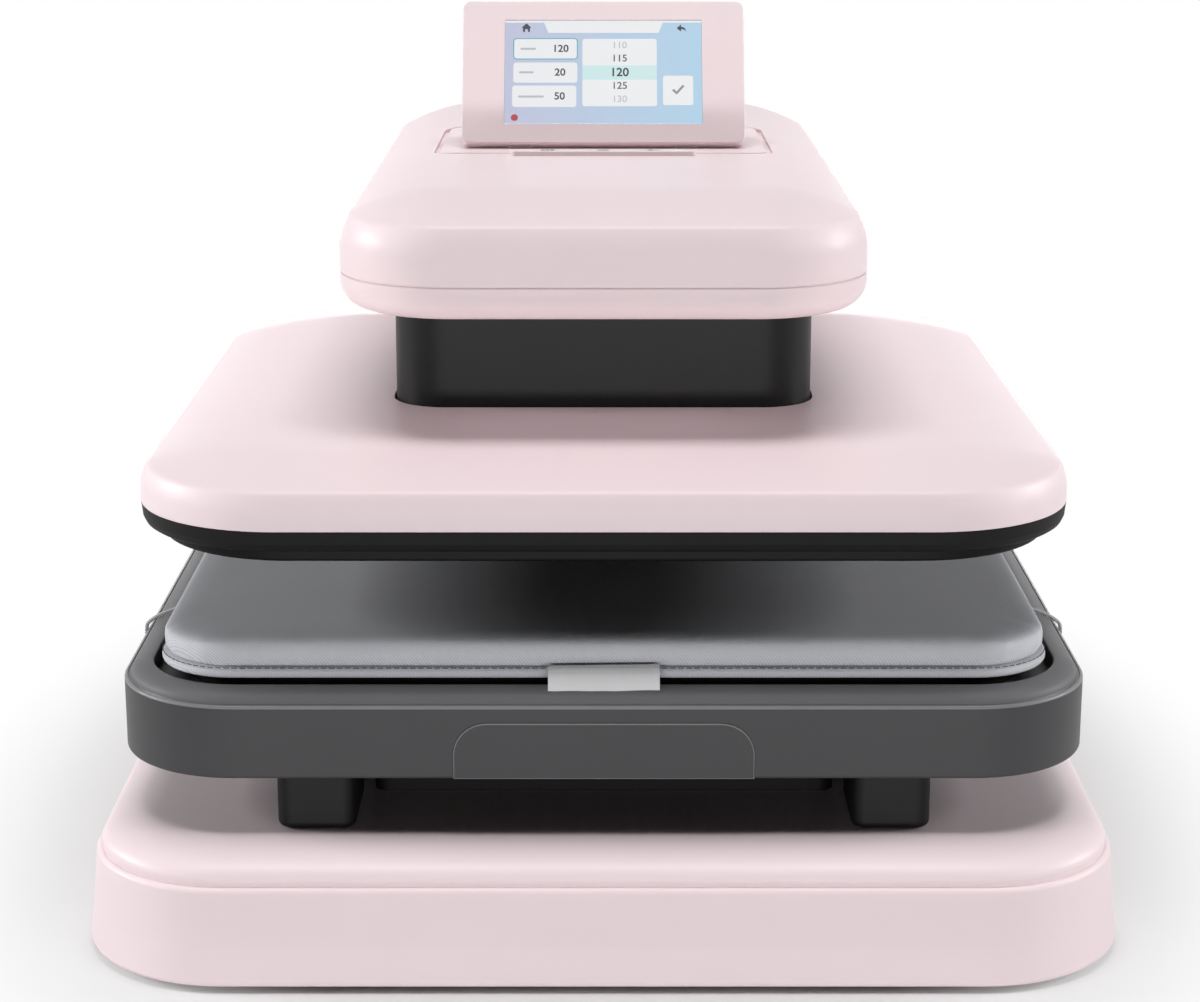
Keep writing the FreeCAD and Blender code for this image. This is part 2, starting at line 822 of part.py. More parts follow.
# The belt's outline is two half turns of different radius joined by their outer tangents.
def beltOutline(sketch, grow):
    near = asSize(s.screwPulleyRadius) + grow
    far = asSize(s.motorPulleyRadius) + grow
    span = motorY - s.platenY
    lean = (near.value - far.value) / span.value
    across = math.sqrt(1 - lean * lean)
    tilt = math.asin(lean)
    centre = FreeCAD.Vector(0, s.platenY.value, 0)
    distant = FreeCAD.Vector(0, motorY.value, 0)
    axis = FreeCAD.Vector(0, 0, 1)
    first = sketch.GeometryCount
    for side in (1, -1):
        begin = FreeCAD.Vector(side * near.value * across, s.platenY.value + near.value * lean, 0)
        finish = FreeCAD.Vector(side * far.value * across, motorY.value + far.value * lean, 0)
        if side < 0:
            begin, finish = finish, begin
        sketch.addGeometry(Part.LineSegment(begin, finish), False)
    circle = Part.Circle(centre, axis, near.value)
    sketch.addGeometry(Part.ArcOfCircle(circle, math.pi - tilt, 2 * math.pi + tilt), False)
    circle = Part.Circle(distant, axis, far.value)
    sketch.addGeometry(Part.ArcOfCircle(circle, tilt, math.pi - tilt), False)
    sketch.addConstraint(Sketcher.Constraint("Tangent", first + 2, 2, first, 1))
    sketch.addConstraint(Sketcher.Constraint("Tangent", first, 2, first + 3, 1))
    sketch.addConstraint(Sketcher.Constraint("Tangent", first + 3, 2, first + 1, 1))
    sketch.addConstraint(Sketcher.Constraint("Tangent", first + 1, 2, first + 2, 1))
    fixPoint(sketch, first + 2, 3, 0, s.platenY)
    fixPoint(sketch, first + 3, 3, 0, motorY)
    fix(sketch, "Radius", first + 2, near)
    fix(sketch, "Radius", first + 3, far)


def timingBelt():
    body = newBody("timing_belt")
    bottom = pulleyBottom + s.pulleyFlange + s.gap
    sketch = newSketch(body, "XY", bottom)
    beltOutline(sketch, s.gap + s.beltThickness)
    beltOutline(sketch, s.gap)
    extrude(body, sketch, s.pulleyHeight - 2 * s.pulleyFlange - 2 * s.gap)


def gearMotor():
    body = newBody("gear_motor", 0, motorY, armBottom)
    gearbox = s.gearboxLength
    discs(body, [(0, 0)], s.gearboxRadius, -gearbox, 0)
    discs(body, [(0, 0)], s.motorRadius, -gearbox - s.motorLength, -gearbox)
    roundEdges(body, s.softRound, level(-gearbox - s.motorLength))
    discs(body, [(0, 0)], s.shaftRadius + 6, -gearbox - s.motorLength - 8, -gearbox - s.motorLength)
    discs(body, [(0, 0)], s.shaftRadius + 3, -4, 0, "Pocket")


def columnCover():
    body = newBody("column_cover")
    half = s.columnWidth / 2
    inner = half - s.columnWall
    block(body, -half, half, columnFront, columnRear, s.baseTop, headBottom, s.columnRadius)
    block(body, -inner, inner, columnFront + s.columnWall, columnRear - s.columnWall,
          s.baseTop, headBottom, s.columnRadius - s.columnWall, "Pocket")
    window = newSketch(body, "XZ", -columnRear - 1)
    reach = s.panelWidth / 2 + s.gap
    drawRounded(window, -reach, reach, panelBottom - s.gap, panelBottom + s.panelHeight + s.gap, s.panelRadius)
    extrude(body, window, s.columnWall + 2, "Pocket", reverse=True)


def rearPanel():
    body = newBody("rear_panel")
    half = s.panelWidth / 2
    top = panelBottom + s.panelHeight
    sketch = newSketch(body, "XZ", -columnRear)
    drawRounded(sketch, -half, half, panelBottom, top, s.panelRadius - s.gap)
    extrude(body, sketch, s.panelThickness)
    cut = newSketch(body, "XZ", -columnRear - 1)
    inletHalf = s.inletWidth / 2 + s.gap
    inletRise = s.inletHeight / 2 + s.gap
    drawBox(cut, s.inletX - inletHalf, s.inletX + inletHalf, inletZ - inletRise, inletZ + inletRise)
    switchHalf = s.switchWidth / 2 + s.gap
    switchRise = s.switchHeight / 2 + s.gap
    drawBox(cut, s.switchX - switchHalf, s.switchX + switchHalf, inletZ - switchRise, inletZ + switchRise)
    extrude(body, cut, s.panelThickness + 2, "Pocket", reverse=True)
    for centre, reach, count in ((0, s.fanBladeRadius - 3, 5), (-58, asSize(14), 5), (58, asSize(14), 5)):
        slot = newSketch(body, "XZ", -columnRear - 1)
        low = fanZ - s.slotPitch * 2 - s.slotWidth / 2
        drawBox(slot, centre - reach, centre + reach, low, low + s.slotWidth)
        vent = extrude(body, slot, s.panelThickness + 2, "Pocket", reverse=True)
        rowCopies(body, vent, slot, "V_Axis", s.slotPitch, count)


def powerInlet():
    body = newBody("power_inlet", s.inletX, columnRear, inletZ)
    half = s.inletWidth / 2
    rise = s.inletHeight / 2
    shell = newSketch(body, "XZ", s.inletDepth)
    drawRounded(shell, -half, half, -rise, rise, 3)
    extrude(body, shell, s.inletDepth, reverse=True)
    flange = newSketch(body, "XZ", -1.8)
    drawRounded(flange, -half - 2.5, half + 2.5, -rise - 2.5, rise + 2.5, 3)
    extrude(body, flange, 1.8)
    mouth = newSketch(body, "XZ", -1.8)
    drawRounded(mouth, 2 - half, half - 2, 2 - rise, rise - 2, 3)
    extrude(body, mouth, s.inletDepth - 2, "Pocket", reverse=True)
    pins = newSketch(body, "XZ", s.inletDepth - 3)
    for x, z in ((-7, -1.5), (0, 2.5), (7, -1.5)):
        drawBox(pins, x - 1, x + 1, z - 2, z + 2)
    extrude(body, pins, s.inletDepth - 6.5, reverse=True)


def switchBody():
    body = newBody("switch_body", s.switchX, columnRear, inletZ)
    half = s.switchWidth / 2
    rise = s.switchHeight / 2
    shell = newSketch(body, "XZ", s.switchDepth)
    drawBox(shell, -half, half, -rise, rise)
    extrude(body, shell, s.switchDepth, reverse=True)
    rim = newSketch(body, "XZ", -s.switchWall)
    edge = s.switchRim
    wall = s.switchWall
    drawBox(rim, -half - edge, half + edge, -rise - edge, rise + edge)
    extrude(body, rim, wall)
    mouth = newSketch(body, "XZ", -wall)
    drawBox(mouth, wall - half, half - wall, wall - rise, rise - wall)
    extrude(body, mouth, s.switchDepth / 2 + wall, "Pocket", reverse=True)
    bore = newSketch(body, "YZ", -half)
    drawCircle(bore, 0, 0, s.pivotRadius + s.runningFit)
    extrude(body, bore, s.switchWidth, "Pocket", reverse=True)


# The rocker turns about a line across the opening, and its two faces meet over that line.
# It rests switched off, with its lower face pressed in.
def switchRocker():
    body = newBody("switch_rocker", s.switchX, columnRear, inletZ)
    tip(body, s.switchThrow)
    half = s.switchWidth / 2 - s.switchWall - s.gap
    sketch = newSketch(body, "YZ", -half)
    rise = s.switchHeight / 2 - 2.4
    drawPolygon(sketch, [(-4.5, -rise + 1.6), (0, -rise), (3.6, -rise), (1.4, 0), (3.6, rise), (0, rise),
                         (-4.5, rise - 1.6)])
    extrude(body, sketch, 2 * half)
    reach = half + s.pivotReach
    pivot = newSketch(body, "YZ", -reach)
    drawCircle(pivot, 0, 0, s.pivotRadius)
    extrude(body, pivot, 2 * reach)


def fanHousing():
    body = newBody("fan_housing", 0, columnRear - s.panelThickness, fanZ)
    half = s.fanSize / 2
    depth = s.fanThickness
    frame = newSketch(body, "XZ", 0)
    drawRounded(frame, -half, half, -half, half, 5)
    drawCircle(frame, 0, 0, s.fanBladeRadius + 1.2)
    extrude(body, frame, depth)
    spokes = newSketch(body, "XZ", depth - 1.5)
    reach = s.fanBladeRadius + 2.4
    drawBox(spokes, -reach, reach, -2, 2)
    extrude(body, spokes, 1.5)
    hub = newSketch(body, "XZ", depth - 1.5)
    drawCircle(hub, 0, 0, s.fanHubRadius)
    extrude(body, hub, 1.5)


def fanRotor():
    body = newBody("fan_rotor", 0, columnRear - s.panelThickness, fanZ)
    front = asSize(0.8)
    depth = s.fanThickness - 2.8
    hub = newSketch(body, "XZ", front)
    drawCircle(hub, 0, 0, s.fanHubRadius)
    extrude(body, hub, depth)
    blade = newSketch(body, "XZ", front + 0.4)
    drawPolygon(blade, [(s.fanHubRadius - 2, -3.4), (s.fanBladeRadius - 1, -7),
                        (s.fanBladeRadius, 3), (s.fanHubRadius - 2, 3.4)])
    blades = extrude(body, blade, depth - 0.8)
    polarCopies(body, blades, blade, s.fanBlades)


def powerSupply():
    body = newBody("power_supply")
    bottom = s.footHeight + s.basePlateThickness
    half = s.supplyWidth / 2
    front = supplyFront + s.slotStart
    block(body, -half, half, supplyFront, supplyRear, bottom, bottom + s.supplyHeight, None)
    roundEdges(body, s.edgeRound, upright)
    slot = newSketch(body, "XY", bottom + s.supplyHeight - 1.5)
    drawBox(slot, s.slotInset - half, half - s.slotInset, front, front + s.slotWidth)
    cut = extrude(body, slot, 1.5, "Pocket", reverse=True)
    rowCopies(body, cut, slot, "V_Axis", s.slotPitch, 11)


def controlBoard():
    body = newBody("control_board")
    bottom = s.footHeight + s.basePlateThickness
    level0 = bottom + s.boardHeight
    half = s.boardWidth / 2
    edge = s.boardInset
    block(body, -half, half, boardFront, boardRear, level0, level0 + s.boardThickness)
    feet = [(x, y) for x in (edge - half, half - edge) for y in (boardFront + edge, boardRear - edge)]
    discs(body, feet, 3, bottom, level0)
    top = level0 + s.boardThickness
    # Places and sizes on the board are in fortieths of its length
    part = s.boardLength / 40
    chips = ((-22.5, 7, 13, 10, 7), (-4, 8, 9, 9, 2), (17, 6, 15, 7, 6), (-15, 23, 8, 6, 8))
    for x, y, width, length, height in chips:
        left, front = part * x, boardFront + part * y
        block(body, left, left + part * width, front, front + part * length, top, top + part * height)
    cans = [(part * x, boardFront + part * y) for x, y in ((10, 25), (21, 25), (-26, 30))]
    discs(body, cans, part * 3.5, top, top + part * 9)


def lowerHeadCover():
    body = newBody("head_lower_cover")
    wall = s.headWall
    block(body, -headHalf, headHalf, headFront, headRear, headBottom, headSeam, s.headRadius,
          rearRadius=s.headRearRadius)
    roundEdges(body, s.headBelly, level(headBottom))
    belly = headBottom + s.headBelly * 0.4
    inner = [(headBottom + wall, s.headBelly * 0.8 + wall), (belly + wall, s.headBelly * 0.25 + wall),
             (headSeam - 2, wall), (headSeam + 1, wall)]
    stack(body, headHalf, headFront, headRear, s.headRadius, inner, "SubtractiveLoft",
          rearRadius=s.headRearRadius)
    gap = s.neckGap
    block(body, -neckHalf - gap, neckHalf + gap, neckFront - gap, neckRear + gap,
          headBottom - 1, headBottom + wall + 1, s.neckRadius + gap, "Pocket")
    edge = s.gap * 4
    block(body, -steelHalf - edge, steelHalf + edge, steelFront - edge, steelRear + edge,
          headBottom - 1, headBottom + wall + 1, None, "Pocket")


# A thin shell that is open below, with upright sides that lean in to a crease under a low crown.
def crownedShell(body, plan, radii, wall, bottom, lean, crown):
    half, front, rear = plan
    radius, rearRadius = radii
    wide, crease = lean[0][0], lean[-1][0]
    block(body, -half, half, front, rear, bottom, wide, radius, rearRadius=rearRadius)
    for levels in (lean, crown):
        stack(body, half, front, rear, radius, levels, ruled=False, rearRadius=rearRadius)
    inner = [(bottom - 1, wall), (wide, wall)]
    inner += [(height - wall, inset + wall) for height, inset in (crown[0], crown[2], crown[-1])]
    stack(body, half, front, rear, radius, inner, "SubtractiveLoft", rearRadius=rearRadius)


def upperHeadCover():
    body = newBody("head_upper_cover")
    wall = s.headWall
    bottom = headSeam + s.seamGap
    crown = crownLevels(s.headLean, s.headCrown, headCrease, headTop)
    crownedShell(body, (headHalf, headFront, headRear), (s.headRadius, s.headRearRadius), wall,
                 bottom, leanLevels(s.headLean, headWide, headCrease), crown)
    half = s.grooveSpan / 2
    block(body, -half - 3, half + 3, grooveFront - 16, grooveRear + 3,
          headTop - s.grooveDepth - 2, headTop - wall + 0.3)
    groove = newSketch(body, "XY", headTop - s.grooveDepth)
    drawRounded(groove, -half, half, grooveFront, grooveRear, s.grooveRadius)
    thin = s.grooveWidth
    drawRounded(groove, thin - half, half - thin, grooveFront + thin, grooveRear - thin, s.grooveRadius - thin)
    extrude(body, groove, s.grooveDepth + 1, "Pocket", reverse=True)
    keyHalf = s.keyWidth / 2 + s.gap / 2
    block(body, -keyHalf, keyHalf, keyRear - s.keyDepth - s.gap / 2, keyRear + s.gap / 2,
          headTop - s.keySeat, headTop + 1, 2.2, "Pocket")


def keyStrip():
    body = newBody("key_strip")
    half = s.keyWidth / 2
    top = headTop + s.keyProud
    block(body, -half, half, keyRear - s.keyDepth, keyRear, headTop - s.keySeat, top, 2)
    roundEdges(body, 0.5, level(top))


# Two small ears stand on the head, and the screen's pins turn in them.
def hingeLugs():
    body = newBody("hinge_lugs")
    for side in (-1, 1):
        left = side * s.lugSpacing / 2 - s.lugWidth / 2
        stem = newSketch(body, "YZ", left)
        drawBox(stem, hingeY - s.lugRadius, hingeY + s.lugRadius, headTop, hingeZ)
        extrude(body, stem, s.lugWidth)
        eye = newSketch(body, "YZ", left)
        drawCircle(eye, hingeY, hingeZ, s.lugRadius)
        extrude(body, eye, s.lugWidth)
    bore = newSketch(body, "YZ", -s.lugSpacing)
    drawCircle(bore, hingeY, hingeZ, s.pinRadius + s.runningFit)
    extrude(body, bore, 2 * s.lugSpacing, "Pocket", reverse=True)


# The screen's pieces are drawn upright about its pins and then leant back together.
def screenBody(name):
    body = newBody(name, 0, hingeY, hingeZ)
    tip(body, s.screenLean)
    return body


screenHalf = s.screenWidth / 2
screenBottom = -s.screenThickness / 2
screenTop = s.screenHeight - s.screenThickness / 2
screenSplit = s.screenThickness / 2 - s.backThickness
glassMiddle = screenBottom + s.screenHeight / 2


def lugNotches(body):
    for side in (-1, 1):
        centre = side * s.lugSpacing / 2
        reach = s.lugWidth / 2 + s.gap
        notch = newSketch(body, "XZ", s.lugRadius + s.gap)
        drawBox(notch, centre - reach, centre + reach, screenBottom - 1, s.lugRadius + s.gap)
        extrude(body, notch, s.screenThickness, "Pocket")


def screenBezel():
    body = screenBody("screen_bezel")
    face = newSketch(body, "XZ", -screenSplit)
    drawRounded(face, -screenHalf, screenHalf, screenBottom, screenTop, s.screenRadius)
    depth = s.screenThickness - s.backThickness
    extrude(body, face, depth)
    low = screenBottom.value
    front = -s.screenThickness.value / 2
    rear = screenSplit.value
    roundEdges(body, s.screenThickness / 2 - s.gap,
               lambda e: abs(e.BoundBox.ZMax - low) < 0.01 and abs(e.BoundBox.YMax - front) < 0.01)
    roundEdges(body, s.edgeRound,
               lambda e: abs(e.BoundBox.ZMax - low) < 0.01 and abs(e.BoundBox.YMin - rear) < 0.01)
    window = newSketch(body, "XZ", s.screenThickness / 2)
    glassHalf = s.glassWidth / 2 + s.runningFit
    glassRise = s.glassHeight / 2 + s.runningFit
    drawBox(window, -glassHalf, glassHalf, glassMiddle - glassRise, glassMiddle + glassRise)
    extrude(body, window, s.glassThickness, "Pocket")
    margin = s.lcdMargin + s.gap
    cavity = newSketch(body, "XZ", s.screenThickness / 2 - s.glassThickness)
    drawBox(cavity, -glassHalf - margin, glassHalf + margin,
            glassMiddle - glassRise - margin, glassMiddle + glassRise + margin)
    extrude(body, cavity, s.screenThickness, "Pocket")
    lugNotches(body)
    for side in (-1, 1):
        bore = newSketch(body, "YZ", side * s.lugSpacing / 2 - s.pinLength / 2)
        drawCircle(bore, 0, 0, s.pinRadius)
        extrude(body, bore, s.pinLength, "Pocket", reverse=True)


def screenBack():
    body = screenBody("screen_back")
    bottom = -s.backThickness
    back = newSketch(body, "XZ", -s.screenThickness / 2)
    drawRounded(back, -screenHalf, screenHalf, bottom, screenTop, s.screenRadius)
    extrude(body, back, s.backThickness)
    rear = s.screenThickness.value / 2
    low = bottom.value
    roundEdges(body, s.backThickness - s.gap / 2,
               lambda e: abs(e.BoundBox.YMin - rear) < 0.01 and abs(e.BoundBox.ZMax - low) < 0.01)
    lugNotches(body)


def lcdPanel():
    body = screenBody("lcd_panel")
    half = s.glassWidth / 2 + s.lcdMargin
    rise = s.glassHeight / 2 + s.lcdMargin
    sketch = newSketch(body, "XZ", s.screenThickness / 2 - s.glassThickness - s.lcdThickness)
    drawBox(sketch, -half, half, glassMiddle - rise, glassMiddle + rise)
    extrude(body, sketch, s.lcdThickness)


def touchGlass():
    body = screenBody("touch_glass")
    half = s.glassWidth / 2
    rise = s.glassHeight / 2
    sketch = newSketch(body, "XZ", s.screenThickness / 2 - s.glassThickness)
    drawBox(sketch, -half, half, glassMiddle - rise, glassMiddle + rise)
    extrude(body, sketch, s.glassThickness - s.runningFit)


def hingePins():
    body = screenBody("hinge_pins")
    for side in (-1, 1):
        sketch = newSketch(body, "YZ", side * s.lugSpacing / 2 - s.pinLength / 2)
        drawCircle(sketch, 0, 0, s.pinRadius)
        extrude(body, sketch, s.pinLength)


# Upper platen, which the screw lowers
def neckSleeve():
    body = newBody("neck_sleeve")
    wall = s.neckWall
    sketch = newSketch(body, "XY", carriageTop)
    drawRounded(sketch, -neckHalf, neckHalf, neckFront, neckRear, s.neckRadius)
    drawRounded(sketch, wall - neckHalf, neckHalf - wall, neckFront + wall, neckRear - wall, s.neckRadius - wall)
    extrude(body, sketch, neckTop - carriageTop)
    half = s.armWidth / 2 + 3
    slot = newSketch(body, "XZ", -neckRear - 1)
    drawBox(slot, -half, half, armBottom - 1.5, neckTop + 1)
    extrude(body, slot, wall + 2, "Pocket", reverse=True)


def platenCover():
    body = newBody("platen_cover")
    wall = s.coverWall
    crown = crownLevels(s.coverLean, s.coverCrown, coverCrease, coverTop)
    crownedShell(body, (coverHalf, coverFront, coverRear), (s.coverRadius, s.coverRearRadius), wall,
                 frameTop, leanLevels(s.coverLean, coverWide, coverCrease), crown)
    gap = s.neckGap
    block(body, -neckHalf - gap, neckHalf + gap, neckFront - gap, neckRear + gap,
          coverTop - 8, coverTop + 1, s.neckRadius + gap, "Pocket")


def platenFrame():
    body = newBody("platen_frame")
    edge = [(frameBottom, s.frameInset), (frameBottom + s.frameRound, s.frameInset / 2),
            (frameBottom + 3 * s.frameRound, s.frameInset / 6), (frameTop, 0)]
    stack(body, coverHalf, coverFront, coverRear, s.coverRadius, edge, rearRadius=s.coverRearRadius)
    clear = platenHalf + 0.8
    shelf = plateTop + s.gap
    block(body, -clear, clear, s.platenY - clear, s.platenY + clear, frameBottom - 1, shelf,
          s.platenRadius + 0.8, "Pocket")
    block(body, 12 - clear, clear - 12, s.platenY - clear + 12, s.platenY + clear - 12,
          shelf - 1, frameTop + 1, s.platenRadius - 11, "Pocket")


def heatPlate():
    body = newBody("heat_plate")
    block(body, -platenHalf, platenHalf, platenFront, platenRear, plateBottom, plateTop, s.platenRadius)
    roundEdges(body, s.edgeRound, level(plateBottom))


# One long tube runs up and down the plate, turning back through half circles.
def heatingElement():
    body = newBody("heating_element")
    path = newSketch(body, "XY", plateTop + s.elementRadius)
    passes = 6
    reach = s.elementRun / 2
    turnRadius = s.elementPitch / 2
    near = s.platenY - reach
    far = s.platenY + reach
    axis = FreeCAD.Vector(0, 0, 1)
    starts = []
    for index in range(passes):
        x = (index - (passes - 1) / 2) * s.elementPitch
        begin, finish = (near, far) if index % 2 == 0 else (far, near)
        path.addGeometry(Part.LineSegment(vector(x, begin), vector(x, finish)), False)
        starts.append((x, begin, finish))
    for index in range(passes - 1):
        x, begin, finish = starts[index]
        circle = Part.Circle(vector(x + turnRadius, finish), axis, turnRadius.value)
        low, high = (0, math.pi) if index % 2 == 0 else (math.pi, 2 * math.pi)
        path.addGeometry(Part.ArcOfCircle(circle, low, high), False)
    for index, (x, begin, finish) in enumerate(starts):
        fixPoint(path, index, 1, x, begin)
        fixPoint(path, index, 2, x, finish)
    for index in range(passes - 1):
        arc = passes + index
        leaving, arriving = (2, 1) if index % 2 == 0 else (1, 2)
        path.addConstraint(Sketcher.Constraint("Coincident", arc, leaving, index, 2))
        path.addConstraint(Sketcher.Constraint("Coincident", arc, arriving, index + 1, 1))
        fix(path, "DistanceY", -1, 1, arc, 3, starts[index][2])
    section = newSketch(body, "XZ", -near)
    drawCircle(section, starts[0][0], plateTop + s.elementRadius, s.elementRadius)
    pipe = body.newObject("PartDesign::AdditivePipe", "heating_element_pipe")
    pipe.Profile = section
    pipe.Spine = path
    return body


def insulationBoard():
    body = newBody("insulation_board")
    half = platenHalf - s.insulationInset
    sketch = newSketch(body, "XY", insulationBottom)
    drawRounded(sketch, -half, half, s.platenY - half, s.platenY + half, s.platenRadius - 10)
    for x, y in standoffPlaces:
        drawCircle(sketch, x, y, s.standoffRadius + 1)
    extrude(body, sketch, s.insulationThickness)


def thermostat():
    body = newBody("thermostat", s.elementPitch, s.platenY, plateTop)
    discs(body, [(0, 0)], 8, 0, 3.5)
    discs(body, [(0, 0)], 5, 3.5, 5.5)
    block(body, -12, 12, -3, 3, 0, 1)


def carriagePlate():
    body = newBody("carriage_plate")
    half = s.carriageWidth / 2
    depth = s.carriageDepth / 2
    block(body, -half, half, s.platenY - depth, s.platenY + depth, carriageBottom, carriageTop, 16)
    discs(body, [(0, s.platenY)], s.screwRadius + 2, carriageBottom, carriageTop, "Pocket")
    windows = newSketch(body, "XY", carriageBottom)
    for side in (-1, 1):
        inner = side * (neckHalf + 8)
        outer = side * (half - 14)
        left, right = (outer, inner) if side < 0 else (inner, outer)
        reach = depth - s.carriageEnd
        drawRounded(windows, left, right, s.platenY - reach, s.platenY + reach, 6)
    extrude(body, windows, s.carriageThickness, "Pocket", reverse=True)


def standoffs():
    body = newBody("standoffs")
    discs(body, standoffPlaces, s.standoffRadius, plateTop, carriageBottom)
    discs(body, standoffPlaces, s.standoffRadius - 1, carriageTop, carriageTop + 3)


def nutTower():
    body = newBody("nut_tower", 0, s.platenY, carriageTop)
    height = nutTop - s.nutFlange - carriageTop
    bore = s.nutRadius + s.runningFit
    ring(body, [(0, 0)], s.towerRadius, bore, 5, height)
    ring(body, [(0, 0)], s.towerRadius + 12, bore, 0, 5)


def leadNut():
    body = newBody("lead_nut", 0, s.platenY, nutTop)
    bore = s.screwRadius + s.runningFit
    ring(body, [(0, 0)], s.towerRadius - 2, bore, -s.nutFlange, 0)
    ring(body, [(0, 0)], s.nutRadius, bore, -s.nutLength, -s.nutFlange)


def guideRods():
    body = newBody("guide_rods")
    top = neckTop + 1
    discs(body, rodPlaces, s.rodRadius, carriageTop, top)
    roundEdges(body, 1, level(top))
    discs(body, rodPlaces, s.rodRadius + 6, carriageTop, carriageTop + 6)


# Drawer with its tray, lower platen, pad and runners
def trayShell():
    body = newBody("tray_shell")
    block(body, -trayHalf, trayHalf, trayFront, trayRear, trayBottom, trayEdge, s.trayRadius)
    roundEdges(body, s.edgeRound, level(trayBottom))
    rim = [(trayEdge - 1, 1.2), (trayEdge + 0.4, 1.2), (trayRim, s.rimWidth)]
    stack(body, trayHalf, trayFront, trayRear, s.trayRadius, rim)
    well = s.rimWidth
    block(body, well - trayHalf, trayHalf - well, trayFront + well, trayRear - well, wellFloor, trayRim + 1,
          s.trayRadius - well, "Pocket")
    wall = s.trayWall
    block(body, wall - trayHalf, trayHalf - wall, trayFront + wall, trayRear - wall, trayBottom, trayFloor,
          s.trayRadius - wall, "Pocket")
    opening = newSketch(body, "XZ", 1 - trayFront)
    handleOutline(opening, 0)
    extrude(body, opening, s.trayWall + 2, "Pocket")


# The pull is a plate with two round upper corners, let into the front of the tray.
def handleOutline(sketch, gap):
    half = s.handleWidth / 2 - gap
    top = trayBottom + s.handleHeight - gap
    drawRounded(sketch, -half, half, trayBottom - 2 * s.handleRadius, top, s.handleRadius - gap)


def trayHandle():
    body = newBody("tray_handle")
    face = newSketch(body, "XZ", -trayFront - s.trayWall)
    handleOutline(face, asSize(s.gap) / 2)
    extrude(body, face, s.trayWall + s.handleProud)
    reach = s.handleWidth
    block(body, -reach, reach, trayFront - 5, trayFront + s.trayWall + 5,
          trayBottom - 2 * s.handleRadius - 1, trayBottom, None, "Pocket")
    half = s.handleWidth / 2 - 6
    rear = trayFront + s.trayWall
    top = trayBottom + s.handleHeight - 2
    block(body, -half, half, rear, rear + s.handleLip, top - 2, top, None)


def trayBase():
    body = newBody("tray_base")
    inset = s.trayWall + s.gap / 2
    top = trayBottom + 2
    block(body, inset - trayHalf, trayHalf - inset, trayFront + inset, trayRear - inset, trayBottom, top,
          s.trayRadius - inset)
    half = s.handleWidth / 2
    block(body, -half, half, trayFront, trayFront + s.trayWall + s.handleLip + 8, trayBottom - 1, top + 1,
          None, "Pocket")


def lowerPlaten():
    body = newBody("lower_platen")
    half = platenHalf - s.lowerPlatenInset
    top = wellFloor + s.lowerPlatenThickness
    block(body, -half, half, s.platenY - half, s.platenY + half, wellFloor, top, s.platenRadius - s.lowerPlatenInset)
    roundEdges(body, 1, level(top))


# The pad is a thin sewn edge with the cushion above it, drawn in at the seam and crowned on top.
def heatPad():
    body = newBody("heat_pad")
    waist = padTop - s.padRound
    edge = [(padBottom, 2.6), (padBottom + 1.2, 1.2), (padSeam - 1.3, 1), (padSeam, s.seamDepth),
            (padSeam + 1.3, 0.5), (padSeam + 3, 0), (waist, 0)]
    stack(body, platenHalf, platenFront, platenRear, s.padRadius, edge)
    shoulder = shoulderLevels(0, s.padReach, waist, padTop)
    stack(body, platenHalf, platenFront, platenRear, s.padRadius, shoulder, ruled=False)
    crown = [(padTop, s.padReach), (padTop + s.padCrown, s.padReach * 2)]
    stack(body, platenHalf, platenFront, platenRear, s.padRadius, crown)


# The tag hangs from the pad's seam and lies out over the edge of the tray.
def padTag():
    body = newBody("pad_tag")
    sketch = newSketch(body, "YZ", -s.tagWidth / 2)
    near = platenFront + s.seamDepth - s.gap
    far = trayFront + s.rimWidth - 2
    low = trayRim + 0.8
    thick = s.tagThickness
    drawPolygon(sketch, [(near, padSeam), (near - thick, padSeam + 0.4), (far - thick, low + 0.2), (far, low - 0.2)])
    extrude(body, sketch, s.tagWidth)


elasticPlaces = (platenFront + s.elasticY, platenRear - s.elasticY)
pegZ = trayEdge - s.elasticDrop


def padElastics():
    body = newBody("pad_elastics")
    startX = platenHalf - 0.9
    startZ = padSeam - s.elasticRadius - 0.5
    outside = trayHalf + s.elasticRadius + 1.4
    bend = asSize(4)
    for side in (-1, 1):
        for y in elasticPlaces:
            path = newSketch(body, "XZ", -y)
            cornerZ = trayEdge + 2.6
            centre = vector(side * (outside - bend), cornerZ - bend)
            corner = vector(side * (outside - 1.2), cornerZ - 0.4)
            path.addGeometry(Part.LineSegment(vector(side * startX, startZ), corner), False)
            drop = Part.LineSegment(vector(side * outside, cornerZ - bend), vector(side * outside, pegZ + 3.2))
            path.addGeometry(drop, False)
            low, high = (0, 1.2) if side > 0 else (math.pi - 1.2, math.pi)
            circle = Part.Circle(centre, FreeCAD.Vector(0, 0, 1), bend.value)
            path.addGeometry(Part.ArcOfCircle(circle, low, high), False)
            first, last = (2, 1) if side > 0 else (1, 2)
            path.addConstraint(Sketcher.Constraint("Tangent", 2, first, 0, 2))
            path.addConstraint(Sketcher.Constraint("Tangent", 2, last, 1, 1))
            path.addConstraint(Sketcher.Constraint("Vertical", 1))
            fixPoint(path, 0, 1, side * startX, startZ)
            fixPoint(path, 1, 2, side * outside, pegZ + 3.2)
            fix(path, "Radius", 2, bend)
            fix(path, "DistanceY", -1, 1, 2, 3, cornerZ - bend)
            section = newSketch(body, "YZ", side * startX)
            drawCircle(section, y, startZ, s.elasticRadius)
            pipe = body.newObject("PartDesign::AdditivePipe", "elastic_pipe")
            pipe.Profile = section
            pipe.Spine = path


